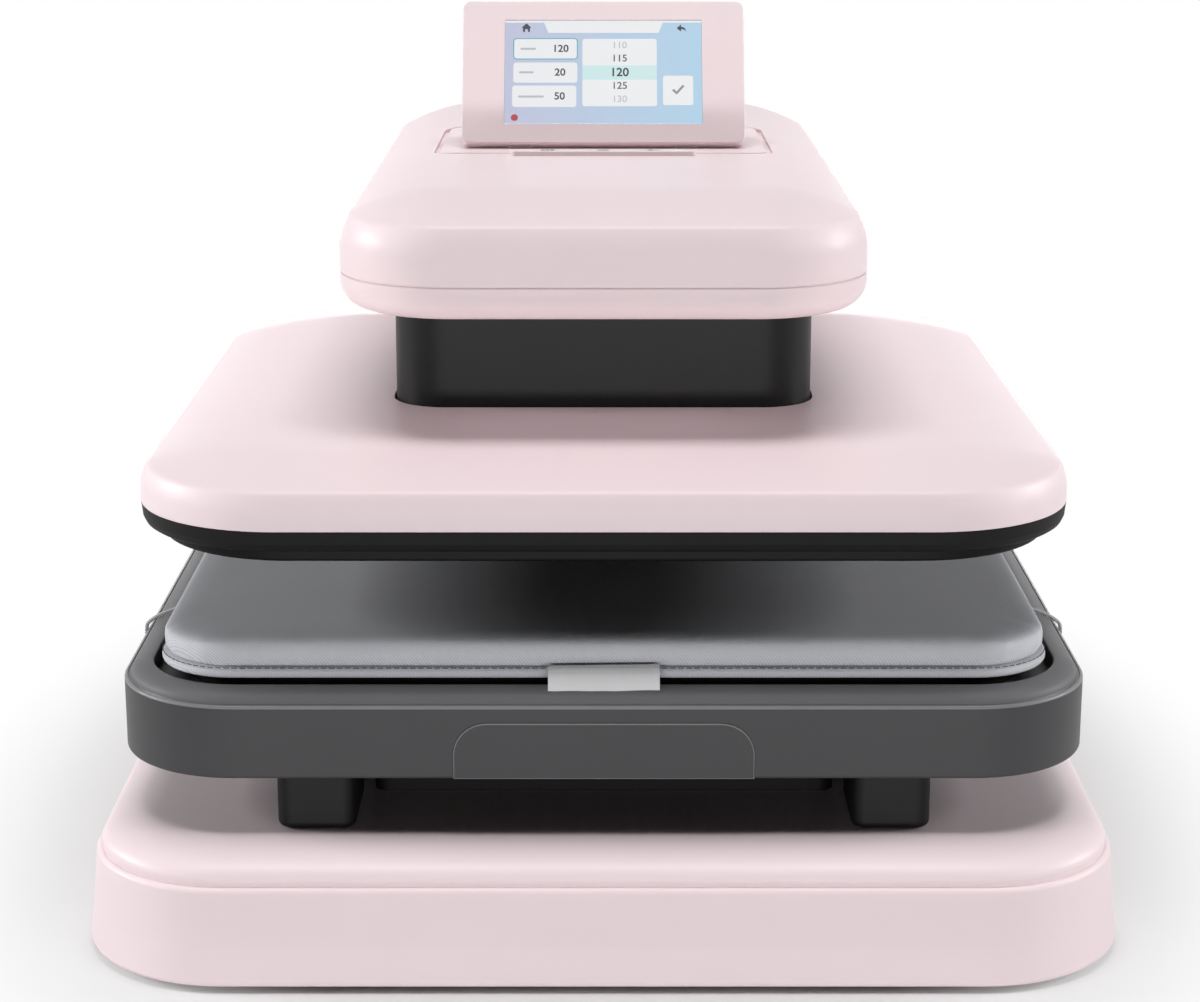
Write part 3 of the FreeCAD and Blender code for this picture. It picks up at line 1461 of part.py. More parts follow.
def elasticPegs():
    body = newBody("elastic_pegs")
    for side in (-1, 1):
        start = trayHalf if side > 0 else -trayHalf - 3
        stem = newSketch(body, "YZ", start)
        head = newSketch(body, "YZ", start + (3 if side > 0 else -1.2))
        for y in elasticPlaces:
            drawCircle(stem, y, pegZ, 2)
            drawCircle(head, y, pegZ, 3)
        extrude(body, stem, 3)
        extrude(body, head, 1.2)


blockFront = trayFront + s.blockSetback
blockRear = blockFront + s.blockLength
railFront = blockRear + 1


def slideBlocks():
    body = newBody("slide_blocks")
    for side in (-1, 1):
        centre = side * railCentre
        half = s.blockWidth / 2
        block(body, centre - half, centre + half, blockFront, blockRear, s.baseTop + s.gap, trayBottom, 6)
    roundEdges(body, s.softRound, level(s.baseTop + s.gap))


# Each runner is three channels, one inside the other, all open towards the middle of the press.
def runner(name, outline):
    body = newBody(name)
    for side in (-1, 1):
        sketch = newSketch(body, "XZ", -railFront)
        drawPolygon(sketch, [(side * (railCentre + x), z) for x, z in outline])
        extrude(body, sketch, s.railLength, reverse=True)


def runners():
    wall = s.railWall
    step = wall + s.gap
    reach = s.railDepth / 2
    lip = reach - 8
    low, high = railBottom, railBottom + s.railHeight
    runner("outer_runners", [(reach, s.baseTop), (reach, high), (lip, high), (lip, high - wall),
                             (reach - wall, high - wall), (reach - wall, low + wall), (lip, low + wall),
                             (lip, low), (reach - wall, low), (reach - wall, s.baseTop)])
    side, low, high = reach - step, low + step, high - step
    runner("middle_runners", [(side, low), (side, high), (lip, high), (lip, high - wall), (side - wall, high - wall),
                              (side - wall, low + wall), (lip, low + wall), (lip, low)])
    side, low, high = side - step, low + step, high - step
    inner = lip - 1.6
    runner("inner_runners", [(side, low), (side, high), (inner, high), (inner, trayBottom),
                             (inner - wall, trayBottom), (inner - wall, low)])


def drawerHousing():
    body = newBody("drawer_housing")
    half = s.housingWidth / 2
    top = s.baseTop + s.housingHeight
    block(body, -half, half, blockRear + s.gap, trayRear - s.housingSetback, s.baseTop, top, 6)
    roundEdges(body, s.edgeRound, level(top))


makers = [
    baseCover, basePlate, rubberFeet, baseScrews, chassisFrame, columnFrame, armFrame, bushPlate, guideBushes,
    bearingBlock, thrustBearing, timingBelt, gearMotor, columnCover, rearPanel, powerInlet, switchBody,
    fanHousing, powerSupply, controlBoard, lowerHeadCover, upperHeadCover, keyStrip, hingeLugs, drawerHousing,
    switchRocker, fanRotor, leadScrew, motorShaft,
    screenBezel, screenBack, lcdPanel, touchGlass, hingePins,
    neckSleeve, platenCover, platenFrame, heatPlate, heatingElement, insulationBoard, thermostat,
    carriagePlate, standoffs, nutTower, leadNut, guideRods,
    trayShell, trayHandle, trayBase, lowerPlaten, heatPad, padTag, padElastics, elasticPegs, slideBlocks,
]
for maker in makers:
    maker()
pulley("screw_pulley", s.platenY, s.screwPulleyRadius, s.screwRadius)
pulley("motor_pulley", motorY, s.motorPulleyRadius, s.shaftRadius)
runners()
document.recompute()

cutters = ("PartDesign::Pocket", "PartDesign::Groove", "PartDesign::SubtractiveLoft")
for item in document.Objects:
    if "Invalid" in item.State or "Error" in item.State:
        raise RuntimeError(f"{item.Label} did not build: {item.State}")
    if item.TypeId in cutters and item.Shape.Volume > item.BaseFeature.Shape.Volume - 1e-3:
        raise RuntimeError(f"{item.Label} cuts nothing")
for body in bodies:
    if body.Shape.isNull() or not body.Shape.isValid() or not body.Shape.Solids:
        raise RuntimeError(f"{body.Label} has no sound solid")
for body in bodies:
    body.Shape.exportStep(f"parts/{body.Label}.step")
    print(body.Label, len(body.Shape.Solids), round(body.Shape.Volume / 1000, 2))
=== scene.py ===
import bmesh
import bpy
import math
from mathutils import Matrix, Vector


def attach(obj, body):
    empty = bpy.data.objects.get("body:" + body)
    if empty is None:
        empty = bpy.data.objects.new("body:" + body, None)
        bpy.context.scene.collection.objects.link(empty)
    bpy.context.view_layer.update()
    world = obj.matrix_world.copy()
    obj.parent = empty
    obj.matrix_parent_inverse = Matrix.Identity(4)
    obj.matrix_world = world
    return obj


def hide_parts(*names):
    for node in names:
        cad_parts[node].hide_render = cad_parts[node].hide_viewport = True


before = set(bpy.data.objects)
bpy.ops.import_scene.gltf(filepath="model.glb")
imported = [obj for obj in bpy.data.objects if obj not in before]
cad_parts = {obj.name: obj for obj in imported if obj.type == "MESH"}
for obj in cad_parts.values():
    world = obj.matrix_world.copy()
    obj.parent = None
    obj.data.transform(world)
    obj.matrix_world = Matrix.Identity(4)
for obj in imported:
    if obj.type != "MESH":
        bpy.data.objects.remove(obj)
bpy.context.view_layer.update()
mm = 0.001
print("frame loaded")


# An sRGB hex colour as the linear values that a socket takes.
def linear(hexColour):
    channels = [int(hexColour[i:i + 2], 16) / 255 for i in (1, 3, 5)]
    return [c / 12.92 if c <= 0.04045 else ((c + 0.055) / 1.055) ** 2.4 for c in channels] + [1]


# Adds one shader node, sets its options and fills or links its sockets.
def addNode(tree, kind, settings=None, sockets=None):
    node = tree.nodes.new("ShaderNode" + kind)
    for name, value in (settings or {}).items():
        setattr(node, name, value)
    for name, value in (sockets or {}).items():
        if isinstance(value, bpy.types.NodeSocket):
            tree.links.new(value, node.inputs[name])
        else:
            node.inputs[name].default_value = value
    return node


def newMaterial(name):
    material = bpy.data.materials.new(name)
    material.use_nodes = True
    tree = material.node_tree
    tree.nodes.clear()
    return material, tree


def finishMaterial(material, shader):
    addNode(material.node_tree, "OutputMaterial", None, {"Surface": shader.outputs[0]})
    return material


# The colour sockets of a Mix node: two in, and one out
mixTone, mixOtherTone, mixResult = 6, 7, 2
# Relief in millimetres, and how far the gloss of grain and of ground lines swings about its middle
surfaceLook = {"depth": 0.05, "grainSwing": 0.04, "linesBrighter": 0.08, "linesDuller": 0.1}


# The end that every surface shares: two tones, relief, and a shader with its other values.
def finishSurface(material, look, share, height, sockets):
    tree = material.node_tree
    tone = addNode(tree, "Mix", {"data_type": "RGBA"}, {
        "Factor": share, mixTone: linear(look["tone"]), mixOtherTone: linear(look["otherTone"])})
    depth = look.get("depth", surfaceLook["depth"]) * mm
    relief = addNode(tree, "Bump", None, {"Height": height, "Strength": look["relief"], "Distance": depth})
    shader = addNode(tree, "BsdfPrincipled", None, {
        "Base Color": tone.outputs[mixResult], "Normal": relief.outputs[0], **sockets})
    return finishMaterial(material, shader)


# A moulded or painted surface: two close tones in broad patches, and a fine grain in bump and gloss.
def grainedSurface(name, look):
    material, tree = newMaterial(name)
    place = addNode(tree, "TexCoord").outputs["Object"]
    patches = addNode(tree, "TexNoise", None, {
        "Vector": place, "Scale": 1 / (look["patch"] * mm), "Detail": 2}).outputs["Fac"]
    grain = addNode(tree, "TexNoise", None, {
        "Vector": place, "Scale": 1 / (look["grain"] * mm), "Detail": 3}).outputs["Fac"]
    gloss = addNode(tree, "MapRange", None, {
        "Value": grain, "To Min": look["roughness"] - surfaceLook["grainSwing"],
        "To Max": look["roughness"] + surfaceLook["grainSwing"]})
    return finishSurface(material, look, patches, grain, {
        "Roughness": gloss.outputs[0], "IOR": look.get("ior", 1.5), "Coat Weight": look.get("coat", 0),
        "Coat Roughness": look.get("coatRoughness", 0.2)})


# A metal cut or ground one way: fine lines along one axis in tone, gloss and bump.
def groundMetal(name, look):
    material, tree = newMaterial(name)
    place = addNode(tree, "TexCoord").outputs["Object"]
    stretch = addNode(tree, "Mapping", None, {"Vector": place, "Scale": look["stretch"]})
    lines = addNode(tree, "TexNoise", None, {
        "Vector": stretch.outputs[0], "Scale": 1 / (look["pitch"] * mm), "Detail": 4}).outputs["Fac"]
    gloss = addNode(tree, "MapRange", None, {
        "Value": lines, "To Min": look["roughness"] - surfaceLook["linesBrighter"],
        "To Max": look["roughness"] + surfaceLook["linesDuller"]})
    return finishSurface(material, look, lines, lines, {"Roughness": gloss.outputs[0], "Metallic": 1})


# Patch, grain and pitch are in millimetres. Real grain and grinding lines are 0.1 to 0.3 mm apart, too fine
# to show, so they are drawn at 0.3 to 1.4 mm

# Moulded ABS with a satin lacquer: pale pink, broad soft highlights, hardly any grain
pinkAbs = grainedSurface("lacqueredPinkAbs", {
    "tone": "#f0dfe2", "otherTone": "#eddbdf", "patch": 60, "grain": 0.9, "relief": 0.03, "roughness": 0.42,
    "ior": 1.36, "coat": 0.04, "coatRoughness": 0.3})
# Moulded ABS from a spark-eroded tool: dark grey with a fine grain that breaks up the highlights
greyAbs = grainedSurface("grainedGreyAbs", {
    "tone": "#3f3e40", "otherTone": "#3b3a3c", "patch": 50, "grain": 0.8, "relief": 0.12, "roughness": 0.5,
    "ior": 1.38})
# The same, paler and glossier: a painted highlight on the upward faces of the tray's lip and round the pull's
# front edge
paintedHighlightAbs = grainedSurface("paintedHighlightGreyAbs", {
    "tone": "#7d7c7f", "otherTone": "#747376", "patch": 20, "grain": 0.8, "relief": 0.05, "roughness": 0.35,
    "ior": 1.4})
# The same with the coarser grain of the tray's rim; its paler tone is painted light on the rim's upward
# faces, which lie in the cover's shadow
rimPaintedLightAbs = grainedSurface("coarseGreyAbsPaintedLight", {
    "tone": "#676668", "otherTone": "#605f61", "patch": 40, "grain": 1.1, "relief": 0.2, "roughness": 0.55,
    "ior": 1.38})
# Moulded ABS with a satin finish: near black, with a soft sheen down its sides
neckAbs = grainedSurface("satinCharcoalAbs", {
    "tone": "#131314", "otherTone": "#101011", "patch": 50, "grain": 0.8, "relief": 0.06, "roughness": 0.45,
    "ior": 1.28})
# Glass-filled nylon: near black and dull, it stands the heat round the plate
blackNylon = grainedSurface("glassFilledNylon", {
    "tone": "#101010", "otherTone": "#0c0c0c", "patch": 30, "grain": 0.7, "relief": 0.2, "roughness": 0.6,
    "ior": 1.25})
# ABS from a polished tool: nearly white with a pink cast, smooth and glossy
whiteAbs = grainedSurface("glossPaleAbs", {
    "tone": "#f2e4e6", "otherTone": "#eee0e2", "patch": 20, "grain": 0.6, "relief": 0.02, "roughness": 0.25})
# Aluminium with a baked non-stick coat: black, smooth, with a low sheen
nonStick = grainedSurface("nonStickCoat", {
    "tone": "#0a0a0a", "otherTone": "#070707", "patch": 40, "grain": 1.2, "relief": 0.08, "roughness": 0.5,
    "ior": 1.22})
# Powder coat on folded steel: black with a slight orange peel
powderCoat = grainedSurface("blackPowderCoat", {
    "tone": "#1e1e1f", "otherTone": "#191919", "patch": 30, "grain": 1.4, "relief": 0.35, "roughness": 0.5})
# Sprayed enamel on welded steel: mid grey and satin, a little uneven
framePaint = grainedSurface("greyFramePaint", {
    "tone": "#4a4c50", "otherTone": "#43454a", "patch": 40, "grain": 1.2, "relief": 0.2, "roughness": 0.45})
# Moulded silicone rubber: black and dull, it never glints
softRubber = grainedSurface("siliconeRubber", {
    "tone": "#1d1d1d", "otherTone": "#171717", "patch": 15, "grain": 0.8, "relief": 0.2, "roughness": 0.75})
# Solder resist printed on glass fibre: dark green with a moist gloss
solderResist = grainedSurface("greenSolderResist", {
    "tone": "#1c5a34", "otherTone": "#184f2d", "patch": 12, "grain": 0.6, "relief": 0.1, "roughness": 0.35})
# Pressed mineral fibre: chalky off-white, rough and dry
mineralBoard = grainedSurface("pressedMineralFibre", {
    "tone": "#dcd8cc", "otherTone": "#cdc8ba", "patch": 8, "grain": 1, "relief": 0.6, "roughness": 0.85})
# Steatite, fired without a glaze: cream, dull and slightly gritty
steatite = grainedSurface("unglazedSteatite", {
    "tone": "#d9d3c5", "otherTone": "#cfc8b8", "patch": 8, "grain": 0.6, "relief": 0.2, "roughness": 0.7})
# Steel ground between centres: bright, with fine lines up its length
groundSteel = groundMetal("groundSteel", {
    "tone": "#c9cacb", "otherTone": "#b4b5b6", "stretch": (1, 1, 0.08), "pitch": 0.6, "relief": 0.15,
    "roughness": 0.26})
# Rolled steel with bright zinc: pale, with soft streaks from front to back
zincSteel = groundMetal("rolledZincSteel", {
    "tone": "#c0c3c6", "otherTone": "#a8abad", "stretch": (1, 0.08, 1), "pitch": 0.8, "relief": 0.15,
    "roughness": 0.34})
# Brass turned on a lathe: warm yellow, with close rings
turnedBrass = groundMetal("turnedBrass", {
    "tone": "#d8b56a", "otherTone": "#c4a058", "stretch": (1, 1, 8), "pitch": 0.8, "relief": 0.15,
    "roughness": 0.28})
# Machined aluminium: pale and slightly milky, with cutter lines from front to back
machinedAluminium = groundMetal("machinedAluminium", {
    "tone": "#d5d6d8", "otherTone": "#c3c4c6", "stretch": (1, 0.1, 1), "pitch": 0.8, "relief": 0.15,
    "roughness": 0.32})

nodeFinish = {
    pinkAbs: ["base_cover", "platen_cover", "head_lower_cover", "head_upper_cover", "column_cover",
              "screen_bezel", "screen_back", "hinge_lugs"],
    greyAbs: ["tray_shell", "tray_handle"],
    neckAbs: ["neck_sleeve", "slide_blocks"],
    blackNylon: ["drawer_housing", "platen_frame", "switch_body", "power_inlet", "fan_housing", "fan_rotor",
                 "switch_rocker", "lcd_panel"],
    whiteAbs: ["key_strip"],
    nonStick: ["heat_plate", "lower_platen"],
    powderCoat: ["base_plate", "rear_panel", "tray_base"],
    framePaint: ["chassis_frame", "column_frame", "arm_frame", "bush_plate", "carriage_plate",
                 "bearing_block", "nut_tower", "gear_motor", "power_supply"],
    softRubber: ["rubber_feet", "timing_belt"],
    solderResist: ["control_board"],
    mineralBoard: ["insulation_board"],
    steatite: ["thermostat"],
    groundSteel: ["guide_rods", "lead_screw", "motor_shaft", "standoffs", "thrust_bearing", "hinge_pins",
                  "heating_element", "base_screws", "elastic_pegs"],
    zincSteel: ["outer_runners", "middle_runners", "inner_runners"],
    turnedBrass: ["lead_nut", "guide_bushes"],
    machinedAluminium: ["screw_pulley", "motor_pulley"],
}
for material, names in nodeFinish.items():
    for name in names:
        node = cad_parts[name]
        node.data.materials.clear()
        node.data.materials.append(material)
print("materials on the frame's pieces")


def addObject(name, data):
    thing = bpy.data.objects.new(name, data)
    bpy.context.scene.collection.objects.link(thing)
    return thing


def meshObject(name, bm):
    mesh = bpy.data.meshes.new(name)
    bm.to_mesh(mesh)
    bm.free()
    return addObject(name, mesh)


# Puts a finished mesh into the scene as a piece on its body.
def placePiece(name, bm, material, body, node=None, smoothAngle=32, edgeMaterials=()):
    bmesh.ops.recalc_face_normals(bm, faces=bm.faces)
    piece = meshObject(name, bm)
    for coat in (material, *edgeMaterials):
        piece.data.materials.append(coat)
    piece.data.shade_smooth()
    piece.data.set_sharp_from_angle(angle=math.radians(smoothAngle))
    weighted = piece.modifiers.new("evenNormals", "WEIGHTED_NORMAL")
    weighted.keep_sharp = True
    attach(piece, body)
    if node:
        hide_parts(node)
    return piece


# A block about its middle, in metres. Returns its edges, each once.
def addBlock(bm, middle, size):
    place = Matrix.Translation(middle) @ Matrix.Diagonal((*size, 1))
    made = bmesh.ops.create_cube(bm, size=1, matrix=place)
    return list(dict.fromkeys(e for v in made["verts"] for e in v.link_edges))


# Those of a block's edges that run along an axis: 0, 1 or 2 for X, Y or Z.
def edgesAlong(edges, axis, size):
    return [e for e in edges if abs(e.verts[0].co[axis] - e.verts[1].co[axis]) > size[axis] / 2]


# Rounds edges to a radius in millimetres. Returns the new faces.
def roundEdges(bm, edges, radius, segments):
    return bmesh.ops.bevel(bm, geom=edges, offset=radius * mm, offset_type="OFFSET", segments=segments,
                           profile=0.5, affect="EDGES", material=-1)["faces"]


# A solid block, in millimetres, with round upright corners. Returns its top and bottom faces.
def roundBlock(bm, low, high, corner, segments, rearCorner=None):
    low, high = Vector(low) * mm, Vector(high) * mm
    middle, size = (low + high) / 2, high - low
    before = set(bm.faces)
    upright = edgesAlong(addBlock(bm, middle, size), 2, size)
    ahead = [e for e in upright if e.verts[0].co.y < middle.y]
    behind = [e for e in upright if e.verts[0].co.y > middle.y]
    roundEdges(bm, ahead, corner, segments)
    roundEdges(bm, behind, rearCorner or corner, segments)
    bm.normal_update()
    faces = [f for f in bm.faces if f not in before]
    top = max(faces, key=lambda f: f.normal.z)
    bottom = min(faces, key=lambda f: f.normal.z)
    return top, bottom


# The same between two heights, with the outline that a piece's settings give, grown by so much all round.
def outlineBlock(bm, look, low, high, segments, grow=0.0):
    half, front, rear = look["half"] + grow, look["front"] - grow, look["rear"] + grow
    return roundBlock(bm, (-half, front, low), (half, rear, high), look["corner"] + grow, segments,
                      look.get("rearCorner"))


# Draws a face in and moves it out, step by step. Each step is (inset, lift) in millimetres.
def stepFace(bm, face, steps):
    for inset, lift in steps:
        bmesh.ops.inset_individual(bm, faces=[face], thickness=inset * mm, depth=lift * mm,
                                   use_even_offset=True)
    bm.normal_update()


# Steps from each point of a profile to the next.
def stepsBetween(points):
    return [(b[0] - a[0], b[1] - a[1]) for a, b in zip(points, points[1:])]


# Steps that follow a quarter of an ellipse, from upright to level.
def roundSteps(reach, rise, count):
    angles = [math.pi / 2 * i / count for i in range(count + 1)]
    return stepsBetween([(reach * (1 - math.cos(a)), rise * math.sin(a)) for a in angles])


# Cuts the cutter's solid out of the piece's mesh.
def carve(bm, cutter):
    for source in (bm, cutter):
        bmesh.ops.recalc_face_normals(source, faces=source.faces)
    carved, tool = meshObject("carved", bm), meshObject("carvingTool", cutter)
    cut = carved.modifiers.new("cut", "BOOLEAN")
    cut.operation = "DIFFERENCE"
    cut.solver = "EXACT"
    cut.object = tool
    bpy.context.view_layer.update()
    evaluated = carved.evaluated_get(bpy.context.evaluated_depsgraph_get())
    result = bmesh.new()
    result.from_mesh(evaluated.to_mesh())
    evaluated.to_mesh_clear()
    for thing in (carved, tool):
        mesh = thing.data
        bpy.data.objects.remove(thing)
        bpy.data.meshes.remove(mesh)
    return result


# Base: walls that flare to the floor, a round lip, a narrow groove and a full shoulder up to the deck
baseLook = {
    "half": 217, "front": -270, "rear": 270, "corner": 60, "flare": 4, "bottom": 2, "slab": (19, 20),
    "lip": 44, "deck": 56, "lipRound": 2.3, "bottomRound": 3, "groove": 2.6, "grooveHeight": 2.3,
    "grooveLean": 0.15, "undercut": 0.35, "shoulderStart": 1.2, "shoulder": 24, "flat": 1, "wall": 8,
    "draft": 0.2, "hollow": 4}


# The block starts as a thin slab half way out along the flare, and is drawn up and down from there.
def makeBase(look):
    bm = bmesh.new()
    low, high = look["slab"]
    spread, lipRound, bottomRound = look["flare"] / 2, look["lipRound"], look["bottomRound"]
    top, bottom = outlineBlock(bm, look, low, high, segments=24, grow=spread)
    steps = [(spread, look["lip"] - lipRound - high)] + roundSteps(lipRound, lipRound, count=5)
    steps += [(look["groove"] - lipRound, 0), (look["grooveLean"], look["grooveHeight"]),
              (-look["undercut"], look["undercut"])]
    start = look["lip"] + look["grooveHeight"] + look["undercut"]
    steps += roundSteps(look["shoulder"] - look["shoulderStart"], look["deck"] - start, count=14)
    stepFace(bm, top, steps + [(look["flat"], 0)])
    steps = [(-spread, low - look["bottom"] - bottomRound)] + roundSteps(bottomRound, bottomRound, count=5)
    steps += [(look["wall"] - bottomRound - look["draft"], 0), (look["draft"], -look["hollow"])]
    stepFace(bm, bottom, steps)
    placePiece("baseShell", bm, pinkAbs, "base", "base_cover")


makeBase(baseLook)
print("base")

# Cover over the heated plate: upright sides that lean in to a soft crease, and a low wide crown
platenLook = {
    "half": 198, "front": -237, "rear": 169, "corner": 64, "rearCorner": 76, "bottom": 186, "wide": 191,
    "crease": 202, "lean": 3, "crown": 56, "top": 209.5, "side": 4, "rings": 14, "creaseRound": 1.6,
    "flat": 1, "edgeRound": 0.5, "wall": 2.5, "draft": 0.2, "hollow": 6}
neckLook = {"half": 95, "front": -108, "rear": 40, "corner": 24, "gap": 1.2, "clear": 5}


# Steps up a side that leans in to a crease, and on over a low crown that ends level.
def crownSteps(look):
    turn, swell = look["side"], look["top"] - look["crease"]
    side = [i / turn for i in range(turn + 1)]
    # The crown's rings stand closer together near the crease
    crown = [(i / look["rings"]) ** 1.2 for i in range(1, look["rings"] + 1)]
    points = [(look["lean"] * a ** 2, look["wide"] + (look["crease"] - look["wide"]) * a) for a in side]
    points += [(look["lean"] + look["crown"] * a, look["crease"] + swell * (2 * a - a * a)) for a in crown]
    # The crease itself is a small round between its two neighbours
    crease = Vector(points[turn])
    ways = [(Vector(points[i]) - crease).normalized() for i in (turn - 1, turn + 1)]
    before, after = (crease + way * look["creaseRound"] for way in ways)
    curve = [tuple(before * (1 - share) ** 2 + crease * 2 * share * (1 - share) + after * share ** 2)
             for share in (0, 0.25, 0.5, 0.75, 1)]
    return stepsBetween(points[:turn] + curve + points[turn + 1:])


def cutNeck(bm, neck, low, high):
    cutter = bmesh.new()
    outlineBlock(cutter, neck, low, high, segments=12, grow=neck["gap"])
    return carve(bm, cutter)


def makePlatenCover(look, neck):
    bm = bmesh.new()
    edge = look["edgeRound"]
    top, bottom = outlineBlock(bm, look, look["bottom"] + edge, look["wide"], segments=24)
    stepFace(bm, top, crownSteps(look) + [(look["flat"], 0)])
    steps = roundSteps(edge, edge, count=3) + [(look["wall"], 0), (look["draft"], -look["hollow"])]
    stepFace(bm, bottom, steps)
    bm = cutNeck(bm, neck, look["bottom"] - neck["clear"], look["top"] + neck["clear"])
    placePiece("platenCover", bm, pinkAbs, "press_head", "platen_cover")


makePlatenCover(platenLook, neckLook)
print("platen cover")

# Head: a tray below and a crowned lid above, with a groove round the screen's resting place
headLook = {
    "half": 115, "front": -179, "rear": 262, "corner": 50, "rearCorner": 62, "bottom": 261, "seam": 276,
    "gap": 0.5, "seamEdge": 0.4, "tongue": 0.9, "draft": 0.05, "overlap": 0.3, "hollow": 0.6, "land": 5,
    "belly": 12, "neckRoof": 3, "wide": 288, "crease": 301, "lean": 4, "crown": 42, "top": 313, "side": 5,
    "rings": 14, "creaseRound": 1.2, "bellyFlat": 1, "lidFlat": 0.5}
grooveLook = {
    "half": 81, "front": -21.5, "rear": 94, "corner": 13, "width": 3, "depth": 2.6, "frontDepth": 0.25,
    "clear": 2, "near": 0.5}


def makeHeadTray(look, neck):
    bm = bmesh.new()
    edge, belly = look["seamEdge"], look["belly"]
    top, bottom = outlineBlock(bm, look, look["bottom"] + belly, look["seam"] - edge, segments=22)
    stepFace(bm, top, [(edge, edge), (look["tongue"] - edge, 0),
                       (look["draft"], look["gap"] + look["overlap"]), (look["land"], 0)])
    stepFace(bm, bottom, roundSteps(belly, belly, count=12) + [(look["bellyFlat"], 0)])
    bm = cutNeck(bm, neck, look["bottom"] - neck["clear"], look["seam"] - look["neckRoof"])
    placePiece("headTray", bm, pinkAbs, "base", "head_lower_cover")


# The ring that cuts the groove. It runs out along the front, where the groove is hardly seen.
def grooveRing(look, surface):
    ring = bmesh.new()
    top, bottom = outlineBlock(ring, look, surface - look["depth"], surface + look["clear"], segments=10)
    stepFace(ring, top, [(look["width"], 0)])
    stepFace(ring, bottom, [(look["width"], 0)])
    frontEnd = look["front"] + look["width"] + look["near"]
    sideEnd = look["half"] - look["corner"] + look["near"]
    for vertex in bottom.verts:
        if vertex.co.y < frontEnd * mm and abs(vertex.co.x) < sideEnd * mm:
            vertex.co.z += (look["depth"] - look["frontDepth"]) * mm
    rims = [e for f in (top, bottom) for e in f.edges]
    bmesh.ops.delete(ring, geom=[top, bottom], context="FACES_ONLY")
    bmesh.ops.bridge_loops(ring, edges=rims)
    return ring


def makeHeadLid(look, groove):
    bm = bmesh.new()
    edge = look["seamEdge"]
    low = look["seam"] + look["gap"] + edge
    top, bottom = outlineBlock(bm, look, low, look["wide"], segments=22)
    stepFace(bm, bottom, [(edge, edge), (look["tongue"] - edge, 0), (look["draft"], -look["hollow"]),
                          (look["land"], 0)])
    stepFace(bm, top, crownSteps(look) + [(look["lidFlat"], 0)])
    bm = carve(bm, grooveRing(groove, look["top"]))
    placePiece("headLid", bm, pinkAbs, "base", "head_upper_cover")


makeHeadTray(headLook, neckLook)
makeHeadLid(headLook, grooveLook)

# Plain marks on the three touch keys: a ring with a bar, two bars, and an arrow back
keyLook = {
    "z": 315.42, "y": -27.3, "thick": 0.05, "places": (-26.4, 0, 23.6), "half": 2.7, "line": 0.9,
    "ringParts": 14, "ringPart": 1.3, "ringFrom": 130, "ringSweep": 280, "stemLift": 1.62, "stem": 3.51,
    "barLift": 1.4, "arrowBack": 1.755, "arrowLift": 0.9, "arrowSide": 2.8}
# Ink printed through a screen: brownish dark grey, flat, with hardly any gloss
keyInk = grainedSurface("greyPrintedInk", {
    "tone": "#2f282b", "otherTone": "#282124", "patch": 2, "grain": 0.4, "relief": 0.05, "roughness": 0.5})


def markBar(bm, look, x, y, wide, deep, turn=0.0):
    place = Matrix.Translation(Vector((x, y, look["z"])) * mm) @ Matrix.Rotation(turn, 4, "Z")
    size = Matrix.Diagonal((wide * mm, deep * mm, look["thick"] * mm, 1))
    bmesh.ops.create_cube(bm, size=1, matrix=place @ size)


def makeKeyMarks(look):
    bm = bmesh.new()
    left, middle, right = look["places"]
    y, half, line = look["y"], look["half"], look["line"]
    for i in range(look["ringParts"]):
        angle = math.radians(look["ringFrom"] + look["ringSweep"] * i / (look["ringParts"] - 1))
        markBar(bm, look, left + half * math.cos(angle), y + half * math.sin(angle), look["ringPart"], line,
                angle + math.pi / 2)
    markBar(bm, look, left, y + look["stemLift"], line, look["stem"])
    markBar(bm, look, right, y, 2 * half, line)
    for way in (-1, 1):
        markBar(bm, look, middle, y + way * look["barLift"], 2 * half, line)
        markBar(bm, look, right - look["arrowBack"], y + way * look["arrowLift"], look["arrowSide"], line,
                way * math.pi / 4)
    placePiece("keyMarks", bm, keyInk, "base")


makeKeyMarks(keyLook)
print("head")

# Tray of the drawer: a round lip, a fine groove and a rim that rises to the well
trayLook = {
    "half": 206, "front": -240, "rear": 172, "corner": 52, "bottom": 80.7, "lip": 112.6, "rim": 118,
    "rimWidth": 13, "lipRound": 1.3, "groove": [(0.4, -0.5), (0.6, 0), (0.3, 0.6)],
    "innerEdge": [(0.5, -0.2), (0.3, -0.5)], "draft": 0.1, "well": 8, "bottomRound": 1.5, "wall": 3,
    "floor": 104, "facesUp": 0.1, "rimFrom": 0.2}
handleLook = {
    "half": 62.5, "top": 105.2, "corner": 14, "front": -240.7, "rear": -237, "gap": 0.12, "edge": 0.45,
    "lift": 0.2, "clear": 2, "below": 20, "behind": 1, "lipHalf": 56.5, "lipLow": 101.2, "lipHigh": 103.2,
    "lipRear": -221, "lipCorner": 0.8, "lipRoot": 0.5}


# The pull's outline as a block that runs through the tray's front wall.
def pullBlock(bm, look, front, rear, low, grow):
    high = look["top"] + grow
    size = Vector((2 * (look["half"] + grow), rear - front, high - low)) * mm
    middle = Vector((0, (front + rear) / 2, (low + high) / 2)) * mm
    along = edgesAlong(addBlock(bm, middle, size), 1, size)
    upper = [e for e in along if e.verts[0].co.z > middle.z]
    roundEdges(bm, upper, look["corner"] + grow, segments=14)


# The edges round the front face of a block, found to a tenth of a millimetre.
def frontRim(bm, front):
    return [e for e in bm.edges if max(v.co.y for v in e.verts) < (front + 0.1) * mm]


